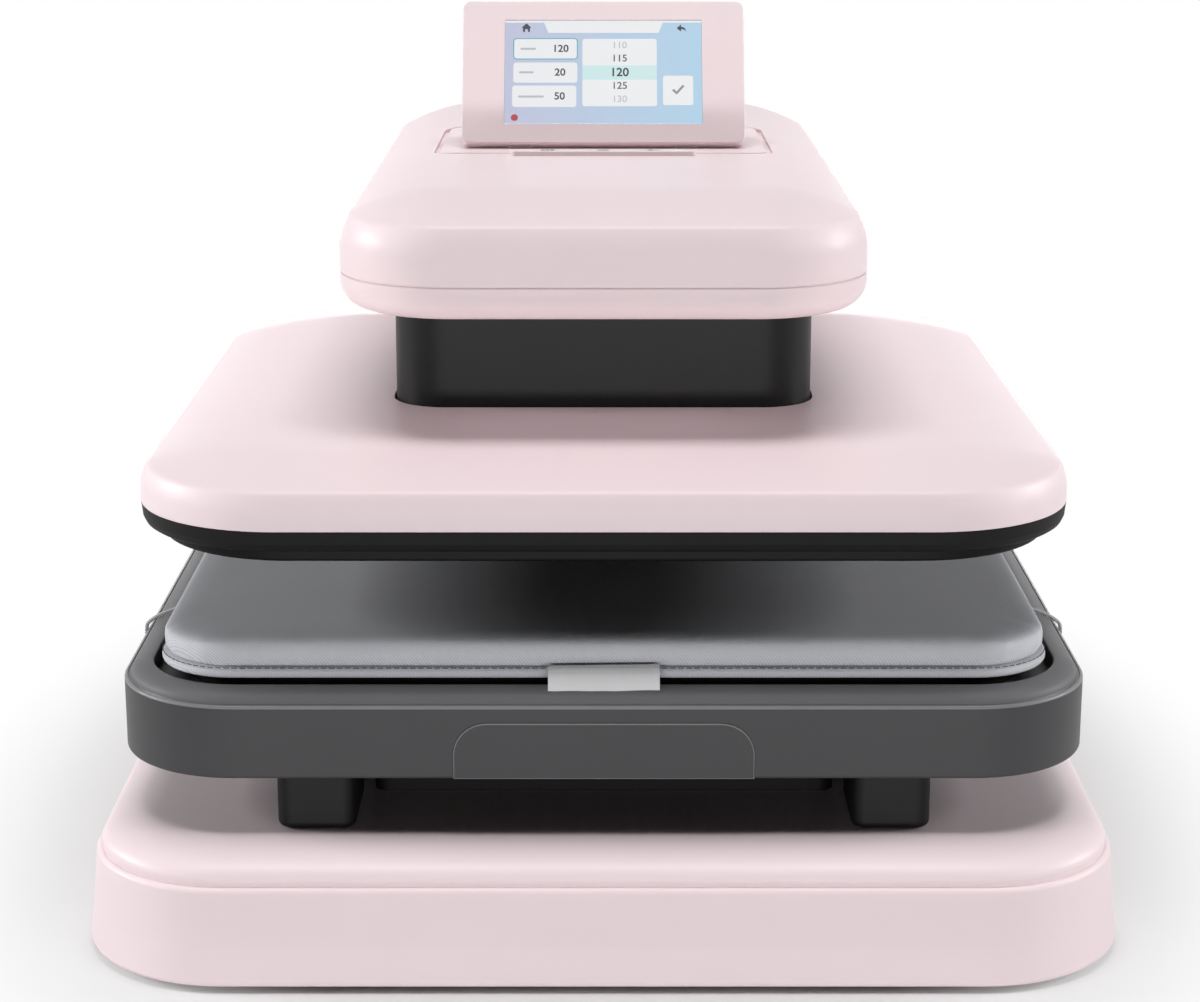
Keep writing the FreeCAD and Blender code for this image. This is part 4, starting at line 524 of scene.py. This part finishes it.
def makeTray(look, pull):
    bm = bmesh.new()
    lipRound, bottomRound, lip = look["lipRound"], look["bottomRound"], look["lip"]
    top, bottom = outlineBlock(bm, look, look["bottom"] + bottomRound, lip - lipRound, segments=20)
    used, sunk = (sum(part) for part in zip(*look["groove"]))
    edgeWide, edgeDrop = (sum(part) for part in zip(*look["innerEdge"]))
    reach = look["rimWidth"] - edgeWide - look["draft"] - lipRound - used
    steps = roundSteps(lipRound, lipRound, count=5) + look["groove"]
    steps += roundSteps(reach, look["rim"] - lip - sunk, count=8) + look["innerEdge"]
    stepFace(bm, top, steps + [(look["draft"], -look["well"] - edgeDrop)])
    steps = roundSteps(bottomRound, bottomRound, count=4) + [(look["wall"] - bottomRound, 0)]
    stepFace(bm, bottom, steps + [(look["draft"], look["bottom"] - look["floor"])])
    cutter = bmesh.new()
    front = look["front"]
    pullBlock(cutter, pull, front - pull["clear"], front + look["wall"] + pull["behind"],
              look["bottom"] - pull["below"], pull["gap"])
    bm = carve(bm, cutter)
    for face in bm.faces:
        height = face.calc_center_median().z / mm
        # Upward faces of the lip round take the paler grey of a painted highlight
        if face.normal.z > look["facesUp"] and lip - lipRound < height <= lip:
            face.material_index = 1
        # Upward faces of the rim take the paler grey of painted light
        elif face.normal.z > look["facesUp"] and height > lip + look["rimFrom"]:
            face.material_index = 2
    placePiece("drawerTray", bm, greyAbs, "drawer", "tray_shell",
               edgeMaterials=(paintedHighlightAbs, rimPaintedLightAbs))


def makePull(look, tray):
    bm = bmesh.new()
    pullBlock(bm, look, look["front"], look["rear"], tray["bottom"] + look["lift"], 0)
    # The pull's rounded front edge takes the paler grey as a painted highlight
    for face in roundEdges(bm, frontRim(bm, look["front"]), look["edge"], segments=3):
        face.material_index = 1
    roundBlock(bm, (-look["lipHalf"], look["rear"] - look["lipRoot"], look["lipLow"]),
               (look["lipHalf"], look["lipRear"], look["lipHigh"]), look["lipCorner"], segments=3)
    placePiece("drawerPull", bm, greyAbs, "drawer", "tray_handle", edgeMaterials=(paintedHighlightAbs,))


makeTray(trayLook, handleLook)
makePull(handleLook, trayLook)
print("tray")

# Heat pad: a cushion of foam under twill, blown up as cloth, over a sewn hem
padLook = {
    "half": 190, "front": -224, "rear": 156, "corner": 34, "seam": 122.9, "top": 134.7, "edge": 1.8,
    "shrink": 1.3, "lift": 1.0, "flat": 6, "foot": [(0.9, 1.0), (1.5, 0.5), (10, 0)], "voxel": 3.6,
    "quality": 4, "pressure": 4, "frames": 20, "most": 0.8}
hemLook = {
    "bottom": 119.4, "inset": 0.7, "below": 0.7, "above": 0.5,
    "top": [(0.25, 0.7), (0.5, 0.55), (0.8, 0.35), (8, 0)],
    "foot": [(0.3, 0.7), (0.6, 0.5), (0.9, 0.4), (8, 0)]}
stitchLook = {"pitch": 3.4, "length": 2.3, "radius": 0.22, "inset": 1.1, "lift": 0.6}
# A Wave node's bands repeat every 0.314 / Scale along an axis, and every 0.444 / Scale on a slant
axisBands, slantBands = 0.314, 0.444


# Twill of polyester on foam: grey, matt, with fine slanting ribs. Real ribs are 0.5 mm apart, drawn at 1 mm
def makeTwill(name, look):
    material, tree = newMaterial(name)
    place = addNode(tree, "TexCoord").outputs["Object"]
    ribs = addNode(tree, "TexWave", {"wave_type": "BANDS", "bands_direction": "DIAGONAL"}, {
        "Vector": place, "Scale": slantBands / (look["rib"] * mm), "Distortion": 0.6, "Detail": 1,
        "Detail Scale": 3})
    fuzz = addNode(tree, "TexNoise", None, {"Vector": place, "Scale": 1 / (look["fuzz"] * mm), "Detail": 2})
    broad = addNode(tree, "TexNoise", None, {"Vector": place, "Scale": 1 / (look["broad"] * mm), "Detail": 3})
    height = addNode(tree, "Math", {"operation": "MULTIPLY_ADD"}, {
        0: fuzz.outputs["Fac"], 1: look["fuzzShare"], 2: ribs.outputs["Fac"]})
    mixed = addNode(tree, "Math", {"operation": "MULTIPLY_ADD"}, {
        0: broad.outputs["Fac"], 1: look["broadShare"], 2: height.outputs[0]})
    share = addNode(tree, "MapRange", None, {"Value": mixed.outputs[0], "From Min": 0.2, "From Max": 1.9})
    return finishSurface(material, look, share.outputs[0], height.outputs[0], {
        "Roughness": 0.85, "Sheen Weight": 0.25, "Sheen Roughness": 0.5, "Specular IOR Level": 0.25})


twillLook = {"rib": 1.0, "broad": 45, "fuzzShare": 0.6, "broadShare": 0.5, "relief": 0.45, "depth": 0.25}
padTwill = makeTwill("greyTwillOnFoam", {**twillLook, "fuzz": 0.7, "tone": "#b9bbc1", "otherTone": "#dadbe1"})
hemTwill = makeTwill("greyTwillHem", {**twillLook, "fuzz": 0.6, "tone": "#bcbec3", "otherTone": "#dddee4"})
# Spun polyester thread: dark grey, matt
threadDark = grainedSurface("darkSewingThread", {
    "tone": "#4c4d50", "otherTone": "#3c3d40", "patch": 2, "grain": 0.3, "relief": 0.4, "roughness": 0.8})


def applyModifiers(piece):
    bpy.context.view_layer.update()
    evaluated = piece.evaluated_get(bpy.context.evaluated_depsgraph_get())
    mesh = bpy.data.meshes.new_from_object(evaluated)
    piece.modifiers.clear()
    piece.data = mesh


# Blows the shape up as cloth and keeps each point within reach of where it was.
def puffCloth(piece, look):
    remesh = piece.modifiers.new("remesh", "REMESH")
    remesh.mode = "VOXEL"
    remesh.voxel_size = look["voxel"] * mm
    applyModifiers(piece)
    before = [v.co.copy() for v in piece.data.vertices]
    cloth = piece.modifiers.new("cloth", "CLOTH")
    settings = cloth.settings
    settings.quality = look["quality"]
    settings.use_pressure = True
    settings.uniform_pressure_force = look["pressure"]
    settings.effector_weights.gravity = 0
    cloth.collision_settings.use_collision = False
    scene = bpy.context.scene
    for number in range(1, look["frames"] + 1):
        scene.frame_set(number)
    applyModifiers(piece)
    scene.frame_set(1)
    for vertex, home in zip(piece.data.vertices, before):
        move = vertex.co - home
        if move.length > look["most"] * mm:
            vertex.co = home + move.normalized() * look["most"] * mm
    smooth = piece.modifiers.new("smooth", "SUBSURF")
    smooth.levels = smooth.render_levels = 1
    applyModifiers(piece)


def makeCushion(look):
    bm = bmesh.new()
    edge = look["edge"]
    top, bottom = outlineBlock(bm, look, look["seam"] + look["lift"], look["top"] - edge, segments=12,
                               grow=-look["shrink"])
    stepFace(bm, top, roundSteps(edge, edge, count=5) + [(look["flat"], 0)])
    stepFace(bm, bottom, look["foot"])
    cushion = placePiece("padCushion", bm, padTwill, "drawer", "heat_pad")
    cushion.modifiers.clear()
    puffCloth(cushion, look)
    cushion.data.shade_smooth()


def makeHem(look, pad):
    bm = bmesh.new()
    middle = (look["bottom"] + pad["seam"]) / 2
    top, bottom = outlineBlock(bm, pad, middle - look["below"], middle + look["above"], segments=12,
                               grow=-look["inset"])
    stepFace(bm, top, look["top"])
    stepFace(bm, bottom, look["foot"])
    placePiece("padHem", bm, hemTwill, "drawer")


# Points and directions along a round-cornered outline, one for each stitch.
def outlineSpots(half, front, rear, corner, pitch):
    spots = []
    wide, deep = 2 * (half - corner), rear - front - 2 * corner
    runs = [(Vector((-half + corner, front, 0)), Vector((1, 0, 0)), wide),
            (Vector((half, front + corner, 0)), Vector((0, 1, 0)), deep),
            (Vector((half - corner, rear, 0)), Vector((-1, 0, 0)), wide),
            (Vector((-half, rear - corner, 0)), Vector((0, -1, 0)), deep)]
    arcCount = round(math.pi / 2 * corner / pitch)
    for begin, way, length in runs:
        count = round(length / pitch)
        spots += [(begin + way * length * (i + 0.5) / count, way) for i in range(count)]
        centre = begin + way * length + Vector((-way.y, way.x, 0)) * corner
        for i in range(arcCount):
            angle = math.pi / 2 * (i + 0.5) / arcCount
            turned = Matrix.Rotation(angle, 3, "Z") @ way
            spots.append((centre + Vector((turned.y, -turned.x, 0)) * corner, turned))
    return spots


def makeStitches(look, pad):
    bm = bmesh.new()
    inset, lift = look["inset"], Vector((0, 0, pad["seam"] + look["lift"]))
    for spot, way in outlineSpots(pad["half"] - inset, pad["front"] + inset, pad["rear"] - inset,
                                  pad["corner"] - inset, look["pitch"]):
        turn = way.to_track_quat("Z", "Y").to_matrix().to_4x4()
        bmesh.ops.create_cone(bm, cap_ends=True, segments=6, radius1=look["radius"] * mm,
                              radius2=look["radius"] * mm, depth=look["length"] * mm,
                              matrix=Matrix.Translation((spot + lift) * mm) @ turn)
    placePiece("padStitches", bm, threadDark, "drawer")


makeCushion(padLook)
makeHem(hemLook, padLook)
makeStitches(stitchLook, padLook)
print("pad")

# Tag sewn into the pad's seam, lying over the tray's rim, and left bare. The path is (y, z) from the seam out
tagLook = {
    "half": 23.2, "thick": 0.5, "tilt": 0.6, "ripple": 0.25, "waves": 9, "columns": 20, "rows": 15,
    "path": [(-223.4, 125.2), (-226.4, 124.7), (-228.8, 122.9), (-230.6, 120.8), (-232.2, 118.7),
             (-233.6, 117.0)]}
# Woven polyester satin ribbon: off-white with a soft sheen. Real threads are 0.3 mm apart, drawn at 0.8 mm
ribbonLook = {"thread": 0.8, "tone": "#e9e8ea", "otherTone": "#f4f3f5", "relief": 0.3, "depth": 0.1}


def makeTagCloth(look):
    material, tree = newMaterial("wovenSatinRibbon")
    place = addNode(tree, "TexCoord").outputs["Object"]
    across, along = (addNode(tree, "TexWave", {"wave_type": "BANDS", "bands_direction": way}, {
        "Vector": place, "Scale": axisBands / (look["thread"] * mm), "Distortion": 0.3}) for way in "ZX")
    weave = addNode(tree, "Math", {"operation": "MULTIPLY"}, {
        0: across.outputs["Fac"], 1: along.outputs["Fac"]}).outputs[0]
    return finishSurface(material, look, weave, weave, {"Roughness": 0.6, "Sheen Weight": 0.3})


def makeTag(look, ribbon):
    path = [Vector((y, z)) * mm for y, z in look["path"]]
    bm = bmesh.new()
    bmesh.ops.create_grid(bm, x_segments=look["columns"], y_segments=look["rows"], size=0.5)
    for vertex in bm.verts:
        across, along = vertex.co.x + 0.5, 0.5 - vertex.co.y
        place = along * (len(path) - 1)
        index = min(int(place), len(path) - 2)
        point = path[index].lerp(path[index + 1], place - index)
        wave = look["ripple"] * math.sin(across * look["waves"]) * along
        lift = wave + look["tilt"] * (across - 0.5)
        vertex.co = Vector(((across * 2 - 1) * look["half"] * mm, point.x, point.y + lift * mm))
    bmesh.ops.smooth_vert(bm, verts=bm.verts, factor=0.5, use_axis_y=True, use_axis_z=True)
    bmesh.ops.solidify(bm, geom=bm.faces[:], thickness=look["thick"] * mm)
    placePiece("padTag", bm, makeTagCloth(ribbon), "drawer", "pad_tag")


makeTag(tagLook, ribbonLook)

# Elastic cords that hold the pad to pegs on the tray's sides. The path is (x, z), from the pad to the peg
elasticLook = {
    "radius": 0.85, "places": (-128, 60),
    "path": [(188.9, 121.6), (193, 120.6), (198, 119.0), (203.5, 116.2), (206.8, 113.6), (207.3, 111.5),
             (207.4, 107), (207.4, 103.4)]}
# Braided rubber cord: pale grey and dull. The real braid is 0.6 mm wide, drawn at 1.2 mm
braidLook = {"braid": 1.2, "tone": "#9c9d9f", "otherTone": "#c4c5c6", "relief": 0.5, "depth": 0.1}


def makeBraid(look):
    material, tree = newMaterial("braidedElastic")
    place = addNode(tree, "TexCoord").outputs["Object"]
    braid = addNode(tree, "TexWave", {"wave_type": "BANDS", "bands_direction": "DIAGONAL"}, {
        "Vector": place, "Scale": slantBands / (look["braid"] * mm), "Distortion": 0.4}).outputs["Fac"]
    return finishSurface(material, look, braid, braid, {"Roughness": 0.8})


# Adds the mesh of a curve or of figures to a bmesh.
def addCurve(bm, curve):
    holder = addObject("holder", curve)
    mesh = bpy.data.meshes.new_from_object(holder)
    bm.from_mesh(mesh)
    bpy.data.objects.remove(holder)
    bpy.data.meshes.remove(mesh)


def makeElastics(look, braid):
    bm = bmesh.new()
    for side in (-1, 1):
        for y in look["places"]:
            curve = bpy.data.curves.new("elasticPath", "CURVE")
            curve.dimensions = "3D"
            curve.bevel_depth = look["radius"] * mm
            curve.bevel_resolution = 3
            curve.use_fill_caps = True
            spline = curve.splines.new("NURBS")
            spline.points.add(len(look["path"]) - 1)
            for point, (x, z) in zip(spline.points, look["path"]):
                point.co = (side * x * mm, y * mm, z * mm, 1)
            spline.order_u = 3
            spline.use_endpoint_u = True
            spline.resolution_u = 6
            addCurve(bm, curve)
    placePiece("padElastics", bm, makeBraid(braid), "drawer", "pad_elastics", smoothAngle=60)


makeElastics(elasticLook, braidLook)
print("tag and elastics")

# Screen: bezel, front glass and what the display shows, made upright and then leaned back on the hinge
screenLook = {
    "half": 68.25, "low": -4.25, "high": 70.25, "front": -4.25, "split": 1.75, "corner": 4, "edge": 0.7,
    "lean": 30, "hinge": (0, 2, 317.55), "glassHalf": 47.75, "glassRise": 27.25, "middle": 33,
    "glassThick": 1.1, "glassFit": 0.1, "glassSunk": 0.05, "glassRoom": 0.4, "glassEdge": 0.12,
    "cavityMargin": 4.3, "lugX": 40, "lugReach": 5.3, "lugFront": -2.05, "lugTop": 2.05, "clear": 1,
    "lap": 0.01}


# Turns a mesh made upright round the hinge's line to where the screen leans.
def leanBack(bm, look):
    lean = Matrix.Rotation(math.radians(-look["lean"]), 4, "X")
    bmesh.ops.transform(bm, verts=bm.verts, matrix=Matrix.Translation(Vector(look["hinge"]) * mm) @ lean)


# A block that stands in the screen's plane, with its four corners rounded as seen from the front.
def plateBlock(bm, left, right, front, rear, low, high, corner=0, segments=8):
    size = Vector((right - left, rear - front, high - low)) * mm
    middle = Vector(((left + right) / 2, (front + rear) / 2, (low + high) / 2)) * mm
    edges = addBlock(bm, middle, size)
    if corner:
        roundEdges(bm, edgesAlong(edges, 1, size), corner, segments)


def makeBezel(look):
    bm = bmesh.new()
    half, middle, margin, clear = look["half"], look["middle"], look["cavityMargin"], look["clear"]
    plateBlock(bm, -half, half, look["front"], look["split"], look["low"], look["high"], look["corner"])
    roundEdges(bm, frontRim(bm, look["front"]), look["edge"], segments=4)
    wide, rise = look["glassHalf"] + look["glassFit"], look["glassRise"] + look["glassFit"]
    behind, back = look["front"] + look["glassThick"], look["split"] + clear
    # The glass's pocket, the cavity behind it, and a slot for each of the hinge's lugs
    cuts = [(-wide, wide, look["front"] - clear, behind + look["lap"], middle - rise, middle + rise),
            (-wide - margin, wide + margin, behind, back, middle - rise - margin, middle + rise + margin)]
    cuts += [(x - look["lugReach"], x + look["lugReach"], look["lugFront"], back, look["low"] - clear,
              look["lugTop"]) for x in (-look["lugX"], look["lugX"])]
    for cut in cuts:
        cutter = bmesh.new()
        plateBlock(cutter, *cut)
        bm = carve(bm, cutter)
    leanBack(bm, look)
    placePiece("screenBezel", bm, pinkAbs, "screen", "screen_bezel")


# Soda-lime glass, polished: clear, with sharp reflections
def makeGlass():
    material, tree = newMaterial("polishedFrontGlass")
    shader = addNode(tree, "BsdfPrincipled", None, {
        "Base Color": linear("#fbfcfd"), "Roughness": 0.03, "IOR": 1.32, "Transmission Weight": 1.0})
    return finishMaterial(material, shader)


# Lit pixels behind the glass, even in tone but for a slow change over the spread, which is in metres.
def makeLit(name, tone, otherTone, spread=0.09):
    material, tree = newMaterial(name)
    place = addNode(tree, "TexCoord").outputs["Object"]
    along = addNode(tree, "Mapping", None, {
        "Vector": place, "Location": (0.5, 0, 0), "Scale": (1 / spread, 1 / spread, 1 / spread)})
    slope = addNode(tree, "TexGradient", {"gradient_type": "LINEAR"}, {"Vector": along.outputs[0]})
    mixed = addNode(tree, "Mix", {"data_type": "RGBA"}, {
        "Factor": slope.outputs["Fac"], mixTone: linear(tone), mixOtherTone: linear(otherTone)})
    shader = addNode(tree, "BsdfPrincipled", None, {
        "Base Color": linear("#101012"), "Roughness": 0.4, "Emission Color": mixed.outputs[mixResult],
        "Emission Strength": 0.9})
    return finishMaterial(material, shader)


litTones = {
    "back": makeLit("litBackground", "#c4c6df", "#b3d8ef", 0.1),
    "card": makeLit("litCard", "#f3f3f5", "#f6f6f7"),
    "teal": makeLit("litTealEdge", "#4aa9ba", "#55b2c1"),
    "band": makeLit("litTealBand", "#cdeeee", "#d6f0f1"),
    "dark": makeLit("litDarkFigures", "#0c0d12", "#101116"),
    "grey": makeLit("litGreyFigures", "#85868d", "#8c8d93"),
    "pale": makeLit("litPaleFigures", "#b9babf", "#c0c1c6"),
    "icon": makeLit("litIcon", "#2a273c", "#302e43"),
    "red": makeLit("litRedDot", "#b8202e", "#c02534"),
}
# Places on the display are in millimetres from its lower left corner. The tab is left, right, low and high
displayLook = {
    "wide": 95.5, "rise": 54.5, "layer": 0.06, "behind": 0.005, "tab": (18.5, 77.2, 48.0, 54.4),
    "tabSlant": 2.6, "fontShare": 1.35, "figureThick": 0.024, "iconThick": 0.042, "iconFront": 0.01,
    "dot": (4.9, 3.4), "dotRadius": 1.75, "topLayer": 3}
# Tone, left, low, right, high, corner and layer
displayCards = [
    ("back", 0, 0, 95.5, 54.5, 0, 0), ("card", 0, 53.4, 95.5, 54.5, 0, 1),
    ("teal", 4.0, 33.9, 35.4, 45.2, 1.7, 1), ("card", 4.5, 34.4, 34.9, 44.7, 1.3, 2),
    ("card", 4.2, 21.7, 35.2, 32.3, 1.4, 1), ("card", 3.7, 9.0, 34.7, 20.2, 1.4, 1),
    ("card", 37.6, 9.4, 73.7, 44.8, 1.2, 1), ("band", 37.6, 23.2, 73.7, 30.7, 0, 2),
    ("card", 76.6, 10.0, 91.2, 25.4, 1.2, 1),
    ("pale", 7.5, 39.0, 15.0, 40.0, 0.4, 3), ("pale", 7.0, 26.6, 14.0, 27.6, 0.4, 3),
    ("pale", 6.6, 13.9, 19.0, 14.9, 0.4, 3),
]
# Tone, figures, the middle's x and z, height, and how much heavier they are drawn
displayFigures = [
    ("dark", "120", 27.0, 39.5, 3.9, 0.1), ("dark", "20", 26.8, 27.0, 3.9, 0.1),
    ("dark", "50", 26.6, 14.5, 3.9, 0.1), ("pale", "110", 55.6, 41.3, 3.6, 0.02),
    ("icon", "115", 55.6, 34.4, 3.8, 0.05), ("dark", "120", 55.6, 27.0, 4.5, 0.12),
    ("icon", "125", 55.6, 20.0, 3.8, 0.05), ("pale", "130", 55.6, 13.0, 3.6, 0.02),
]
# House and return arrow in the upper corners, and the tick on the button
displayIcons = {
    "displayHouse": ("icon", [
        (8.0, 50.6), (10.4, 53.0), (12.8, 50.6), (12.1, 50.6), (12.1, 48.4), (11.1, 48.4), (11.1, 49.9),
        (9.7, 49.9), (9.7, 48.4), (8.7, 48.4), (8.7, 50.6)]),
    "displayArrow": ("icon", [
        (83.4, 50.4), (85.6, 52.4), (85.6, 51.2), (87.4, 50.6), (88.1, 48.6), (87.0, 49.7), (85.6, 49.9),
        (85.6, 48.6)]),
    "displayTick": ("grey", [
        (81.0, 17.6), (81.9, 18.4), (83.1, 17.0), (86.2, 20.6), (87.0, 19.8), (83.2, 15.4)])}


# Lifts what is drawn on the display's own plane to its layer in front of the panel.
def displayPiece(name, bm, tone, layer, look, screen):
    depth = screen["front"] + screen["glassThick"] - layer * look["layer"]
    corner = Vector((-look["wide"] / 2, depth, screen["middle"] - look["rise"] / 2))
    bmesh.ops.transform(bm, verts=bm.verts, matrix=Matrix.Translation(corner * mm))
    leanBack(bm, screen)
    placePiece(name, bm, litTones[tone], "screen")


# Stands a flat shape up at a place on the display.
def standUp(x, z, look):
    return Matrix.Translation(Vector((x, -look["layer"] / 2, z)) * mm) @ Matrix.Rotation(math.pi / 2, 4, "X")


def makeCards(look, screen):
    for number, (tone, left, low, right, high, corner, layer) in enumerate(displayCards):
        bm = bmesh.new()
        plateBlock(bm, left, right, -look["layer"], -look["behind"], low, high, corner, segments=5)
        displayPiece(f"displayCard{number}", bm, tone, layer, look, screen)


# White tab behind the title's place, with slanting ends.
def makeTab(look, screen):
    bm = bmesh.new()
    left, right, low, high = look["tab"]
    plateBlock(bm, left, right, -look["layer"], -look["behind"], low, high)
    middle = (left + right) / 2 * mm
    for vertex in bm.verts:
        if vertex.co.z < (low + high) / 2 * mm:
            vertex.co.x -= math.copysign(look["tabSlant"] * mm, vertex.co.x - middle)
    displayPiece("displayTab", bm, "card", 1, look, screen)


def makeFigures(look, screen):
    for number, (tone, text, x, z, size, heavy) in enumerate(displayFigures):
        curve = bpy.data.curves.new("figures", "FONT")
        curve.body = text
        curve.size = size * look["fontShare"] * mm
        curve.offset = heavy * mm
        curve.extrude = look["figureThick"] * mm
        curve.align_x = "CENTER"
        curve.align_y = "CENTER"
        bm = bmesh.new()
        addCurve(bm, curve)
        bmesh.ops.transform(bm, verts=bm.verts, matrix=standUp(x, z, look))
        displayPiece(f"displayFigures{number}", bm, tone, look["topLayer"], look, screen)


def makeIcons(look, screen):
    for name, (tone, corners) in displayIcons.items():
        bm = bmesh.new()
        face = bm.faces.new([bm.verts.new(Vector((x, -look["iconFront"], z)) * mm) for x, z in corners])
        made = bmesh.ops.extrude_face_region(bm, geom=[face])
        moved = [v for v in made["geom"] if isinstance(v, bmesh.types.BMVert)]
        bmesh.ops.translate(bm, verts=moved, vec=(0, -look["iconThick"] * mm, 0))
        displayPiece(name, bm, tone, look["topLayer"], look, screen)
    bm = bmesh.new()
    radius = look["dotRadius"] * mm
    bmesh.ops.create_cone(bm, cap_ends=True, segments=24, radius1=radius, radius2=radius,
                          depth=look["iconThick"] * mm, matrix=standUp(*look["dot"], look))
    displayPiece("displayDot", bm, "red", look["topLayer"], look, screen)


def makeFrontGlass(look):
    bm = bmesh.new()
    half, rise, middle = look["glassHalf"], look["glassRise"], look["middle"]
    front, rear = look["front"] + look["glassSunk"], look["front"] + look["glassThick"] - look["glassRoom"]
    plateBlock(bm, -half, half, front, rear, middle - rise, middle + rise)
    roundEdges(bm, bm.edges[:], look["glassEdge"], segments=2)
    leanBack(bm, look)
    placePiece("screenGlass", bm, makeGlass(), "screen", "touch_glass")


makeBezel(screenLook)
for makeLayer in (makeCards, makeTab, makeFigures, makeIcons):
    makeLayer(displayLook, screenLook)
makeFrontGlass(screenLook)
print("screen")

# Studio, in metres: pale floor, soft light and the photograph's view. Each box is its name, watts, size, its
# place and what it is turned to
studioLook = {
    "floorHalf": 8, "floorTone": "#dedede", "world": 0.015, "nearX": 0.345, "nearY": 0.5, "middleY": -0.02,
    "boxes": [("topSoftbox", 40, (1.7, 0.7), (0, -0.22, 2.6), (0, -0.15, 0.15)),
              ("leftSoftbox", 13.5, (0.6, 0.3), (-1.5, -0.06, 0.6), (0, 0, 0.15)),
              ("rightSoftbox", 11, (0.6, 0.3), (1.5, -0.06, 0.6), (0, 0, 0.15)),
              ("frontSoftbox", 15.2, (1.7, 0.1), (0, -2.0, 0.07), (0, 0, 0.16)),
              ("rearSoftbox", 12, (1.5, 0.2), (0, 1.9, 0.12), (0, 0, 0.15))]}
white = (1, 1, 1, 1)


# 1 for the camera's rays and for those off metal and through glass, which all see the white background.
def seenRays(tree):
    rays = addNode(tree, "LightPath")
    seen = addNode(tree, "Math", {"operation": "MAXIMUM"}, {
        0: rays.outputs["Is Camera Ray"], 1: rays.outputs["Is Glossy Ray"]})
    return addNode(tree, "Math", {"operation": "MAXIMUM"}, {
        0: seen.outputs[0], 1: rays.outputs["Is Transmission Ray"]}).outputs[0]


# Pale floor that keeps the object's soft shadow near it and turns plain white further out.
def makeFloor(look):
    bm = bmesh.new()
    bmesh.ops.create_grid(bm, x_segments=1, y_segments=1, size=look["floorHalf"])
    floor = meshObject("floor", bm)
    material, tree = newMaterial("paleFloor")
    place = addNode(tree, "TexCoord").outputs["Object"]
    scaled = addNode(tree, "Mapping", None, {
        "Vector": place, "Location": (0, -look["middleY"] / look["nearY"], 0),
        "Scale": (1 / look["nearX"], 1 / look["nearY"], 1)})
    near = addNode(tree, "TexGradient", {"gradient_type": "SPHERICAL"}, {"Vector": scaled.outputs[0]})
    away = addNode(tree, "MapRange", {"interpolation_type": "SMOOTHSTEP"}, {
        "Value": near.outputs["Fac"], "From Min": 0.02, "From Max": 0.42, "To Min": 1.0, "To Max": 0.0})
    share = addNode(tree, "Math", {"operation": "MULTIPLY"}, {0: seenRays(tree), 1: away.outputs[0]})
    matt = addNode(tree, "BsdfDiffuse", None, {"Color": linear(look["floorTone"])})
    bright = addNode(tree, "Emission", None, {"Color": white, "Strength": 1.0})
    both = addNode(tree, "MixShader", None, {0: share.outputs[0], 1: matt.outputs[0], 2: bright.outputs[0]})
    floor.data.materials.append(finishMaterial(material, both))


def makeWorld(look):
    world = bpy.data.worlds.new("studio")
    world.use_nodes = True
    tree = world.node_tree
    tree.nodes.clear()
    dim = addNode(tree, "Background", None, {"Color": white, "Strength": look["world"]})
    bright = addNode(tree, "Background", None, {"Color": white, "Strength": 1.0})
    both = addNode(tree, "MixShader", None, {0: seenRays(tree), 1: dim.outputs[0], 2: bright.outputs[0]})
    addNode(tree, "OutputWorld", None, {"Surface": both.outputs[0]})
    bpy.context.scene.world = world


def addSoftbox(name, power, size, place, aim):
    lamp = bpy.data.lights.new(name, "AREA")
    lamp.shape = "RECTANGLE"
    lamp.size, lamp.size_y = size
    lamp.energy = power
    box = addObject(name, lamp)
    box.location = place
    box.rotation_euler = (Vector(aim) - Vector(place)).to_track_quat("-Z", "Y").to_euler()


makeFloor(studioLook)
makeWorld(studioLook)
for box in studioLook["boxes"]:
    addSoftbox(*box)

# The place is in metres, and the lens and sensor in millimetres
cameraLook = {"place": (-0.0016, -1.255, 0.466), "pitch": 14.68, "lens": 78, "sensor": 36}
shot = bpy.data.cameras.new("camera")
shot.sensor_width = cameraLook["sensor"]
shot.lens = cameraLook["lens"]
camera = addObject("camera", shot)
camera.location = cameraLook["place"]
camera.rotation_euler = (math.radians(90 - cameraLook["pitch"]), 0, 0)
bpy.context.scene.camera = camera
bpy.context.scene.view_settings.view_transform = "Standard"
print("studio and camera")
